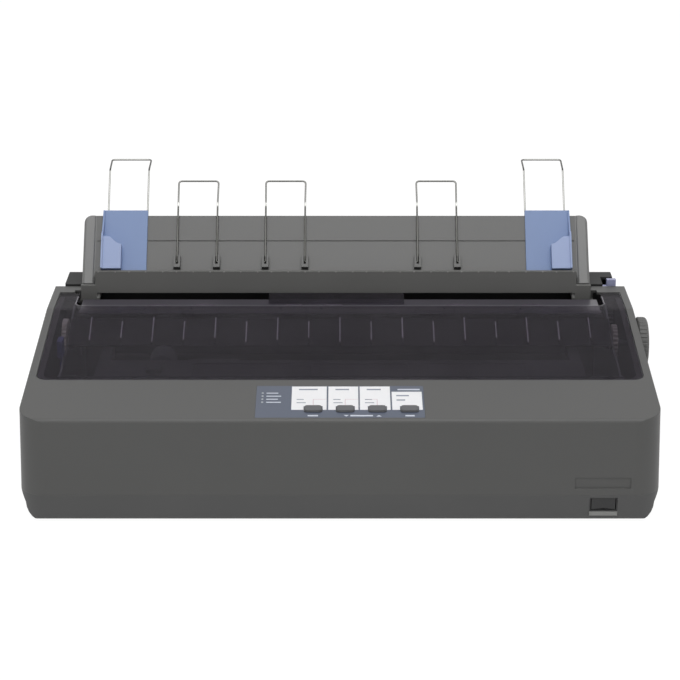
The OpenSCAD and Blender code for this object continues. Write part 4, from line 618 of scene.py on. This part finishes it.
def bent_wire(name, loop, painted_reflection_stops):
    """Plated spring wire for a loop, with painted reflections and a painted highlight along it; each stop
    is a way in millimetres to the rear of the loop's bend, and the painted colour there."""
    ramp_start, ramp_length = -10.0, 50.0
    bend_y = (on_guide @ (Vector((0.0, loop["depth"], loop["bend"])) * mm)).y
    wire = metal(name, "#f6f6f4", 0.2, (1.0, 1.0, 0.05), 700.0, 0.000005, 0.0001)
    nodes, links = wire.node_tree.nodes, wire.node_tree.links
    along = nodes.new("ShaderNodeTexCoord")
    axes = nodes.new("ShaderNodeSeparateXYZ")
    past = nodes.new("ShaderNodeMapRange")
    past.inputs["From Min"].default_value = bend_y + ramp_start * mm
    past.inputs["From Max"].default_value = bend_y + (ramp_start + ramp_length) * mm
    painted_reflection_ramp = nodes.new("ShaderNodeValToRGB")
    while len(painted_reflection_ramp.color_ramp.elements) < len(painted_reflection_stops):
        painted_reflection_ramp.color_ramp.elements.new(0.5)
    for element, (way, colour) in zip(painted_reflection_ramp.color_ramp.elements, painted_reflection_stops):
        element.position = (way - ramp_start) / ramp_length
    for element, (way, colour) in zip(painted_reflection_ramp.color_ramp.elements, painted_reflection_stops):
        element.color = linear(colour)
    mixed = nodes.new("ShaderNodeMix")
    mixed.data_type = "RGBA"
    mixed.blend_type = "MULTIPLY"
    mixed.inputs["Factor"].default_value = 1.0
    base = nodes["Principled BSDF"].inputs["Base Color"]
    links.new(base.links[0].from_socket, mixed.inputs["A"])
    links.new(along.outputs["Object"], axes.inputs["Vector"])
    links.new(axes.outputs["Y"], past.inputs["Value"])
    links.new(past.outputs["Result"], painted_reflection_ramp.inputs["Fac"])
    links.new(painted_reflection_ramp.outputs["Color"], mixed.inputs["B"])
    links.new(mixed.outputs["Result"], base)
    return wire


def rounded_path(corners, radius, steps=6):
    """A polyline through corners whose inner corners are arcs of about the given radius."""
    path = [Vector(corners[0])]
    for before, here, after in zip(corners, corners[1:], corners[2:]):
        here = Vector(here)
        back = Vector(before) - here
        onward = Vector(after) - here
        reach = min(radius, back.length * 0.45, onward.length * 0.45)
        start, end = here + back.normalized() * reach, here + onward.normalized() * reach
        for k in range(steps + 1):
            t = k / steps
            path.append((1 - t) ** 2 * start + 2 * t * (1 - t) * here + t ** 2 * end)
    path.append(Vector(corners[-1]))
    return path


def wire_piece(name, corners, place, body, wire):
    """A round wire bent along corners given in millimetres."""
    curve = bpy.data.curves.new(name, "CURVE")
    curve.dimensions = "3D"
    curve.bevel_depth = wire_radius * mm
    curve.bevel_resolution = 4
    curve.use_fill_caps = True
    points = [place @ (p * mm) for p in rounded_path(corners, 4.0)]
    spline = curve.splines.new("POLY")
    spline.points.add(len(points) - 1)
    for point, at in zip(spline.points, points):
        point.co = (*at, 1.0)
    curve.materials.append(wire)
    made = bpy.data.objects.new(name, curve)
    bpy.context.scene.collection.objects.link(made)
    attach(made, body)
    return made


def loop_corners(node, depth, foot_height, bend, reach, foot):
    """A loop of wire round the middle of its node: feet at foot_height turned out by foot, legs up to
    bend, then by reach to the rear and up, and closed."""
    node_low, node_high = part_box(node)
    middle = ((node_low.x + node_high.x) / 2 - guide_middle) / mm
    left, right = middle - loop_half, middle + loop_half
    back, up = depth + reach[0], bend + reach[1]
    return [(left - foot, depth, foot_height), (left, depth, foot_height), (left, depth, bend),
            (left - 0.4, back, up), (right + 0.4, back, up),
            (right, depth, bend), (right, depth, foot_height), (right + foot, depth, foot_height)]


# the colour stops paint the wires' reflections: darker lengths and a pale painted highlight at each bend
support_wire_reflections = bent_wire("support_wire_reflections", support_loop,
                        [(-4.0, "#5c5c5a"), (-2.8, "#cececc"), (-1.4, "#cececc"), (0.0, "#7d7d7b")])
edge_wire_reflections = bent_wire("edge_wire_reflections", edge_loop,
                        [(-1.0, "#a6a6a4"), (0.0, "#525250"), (26.0, "#666664"), (29.0, "#969694")])
for kind, sides, loop, wire in [("support", ("left", "middle", "right"), support_loop, support_wire_reflections),
                                ("edge", ("left", "right"), edge_loop, edge_wire_reflections)]:
    for side in sides:
        node = kind + "_wire_" + side
        made = wire_piece(kind + "_loop_" + side, loop_corners(node, **loop), on_guide, node, wire)
        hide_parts(node)

# Knob and levers: the platen knob at the right, ribbed for grip, the blue lever
# that sets the gap to the platen, and the lavender one that releases the paper.
# The knob is pushed onto the platen's shaft, and the levers turn on studs.
finish_nodes(moulded("knob_grey", "#5c5c5b", 0.5, 0.05, 900.0, 0.00002, 0.0004), "knob")
finish_nodes(moulded("lever_blue", "#4c5390", 0.45, 0.04), "gap_lever")
finish_nodes(moulded("lever_lavender", "#a3a6c6", 0.45, 0.04), "release_lever")
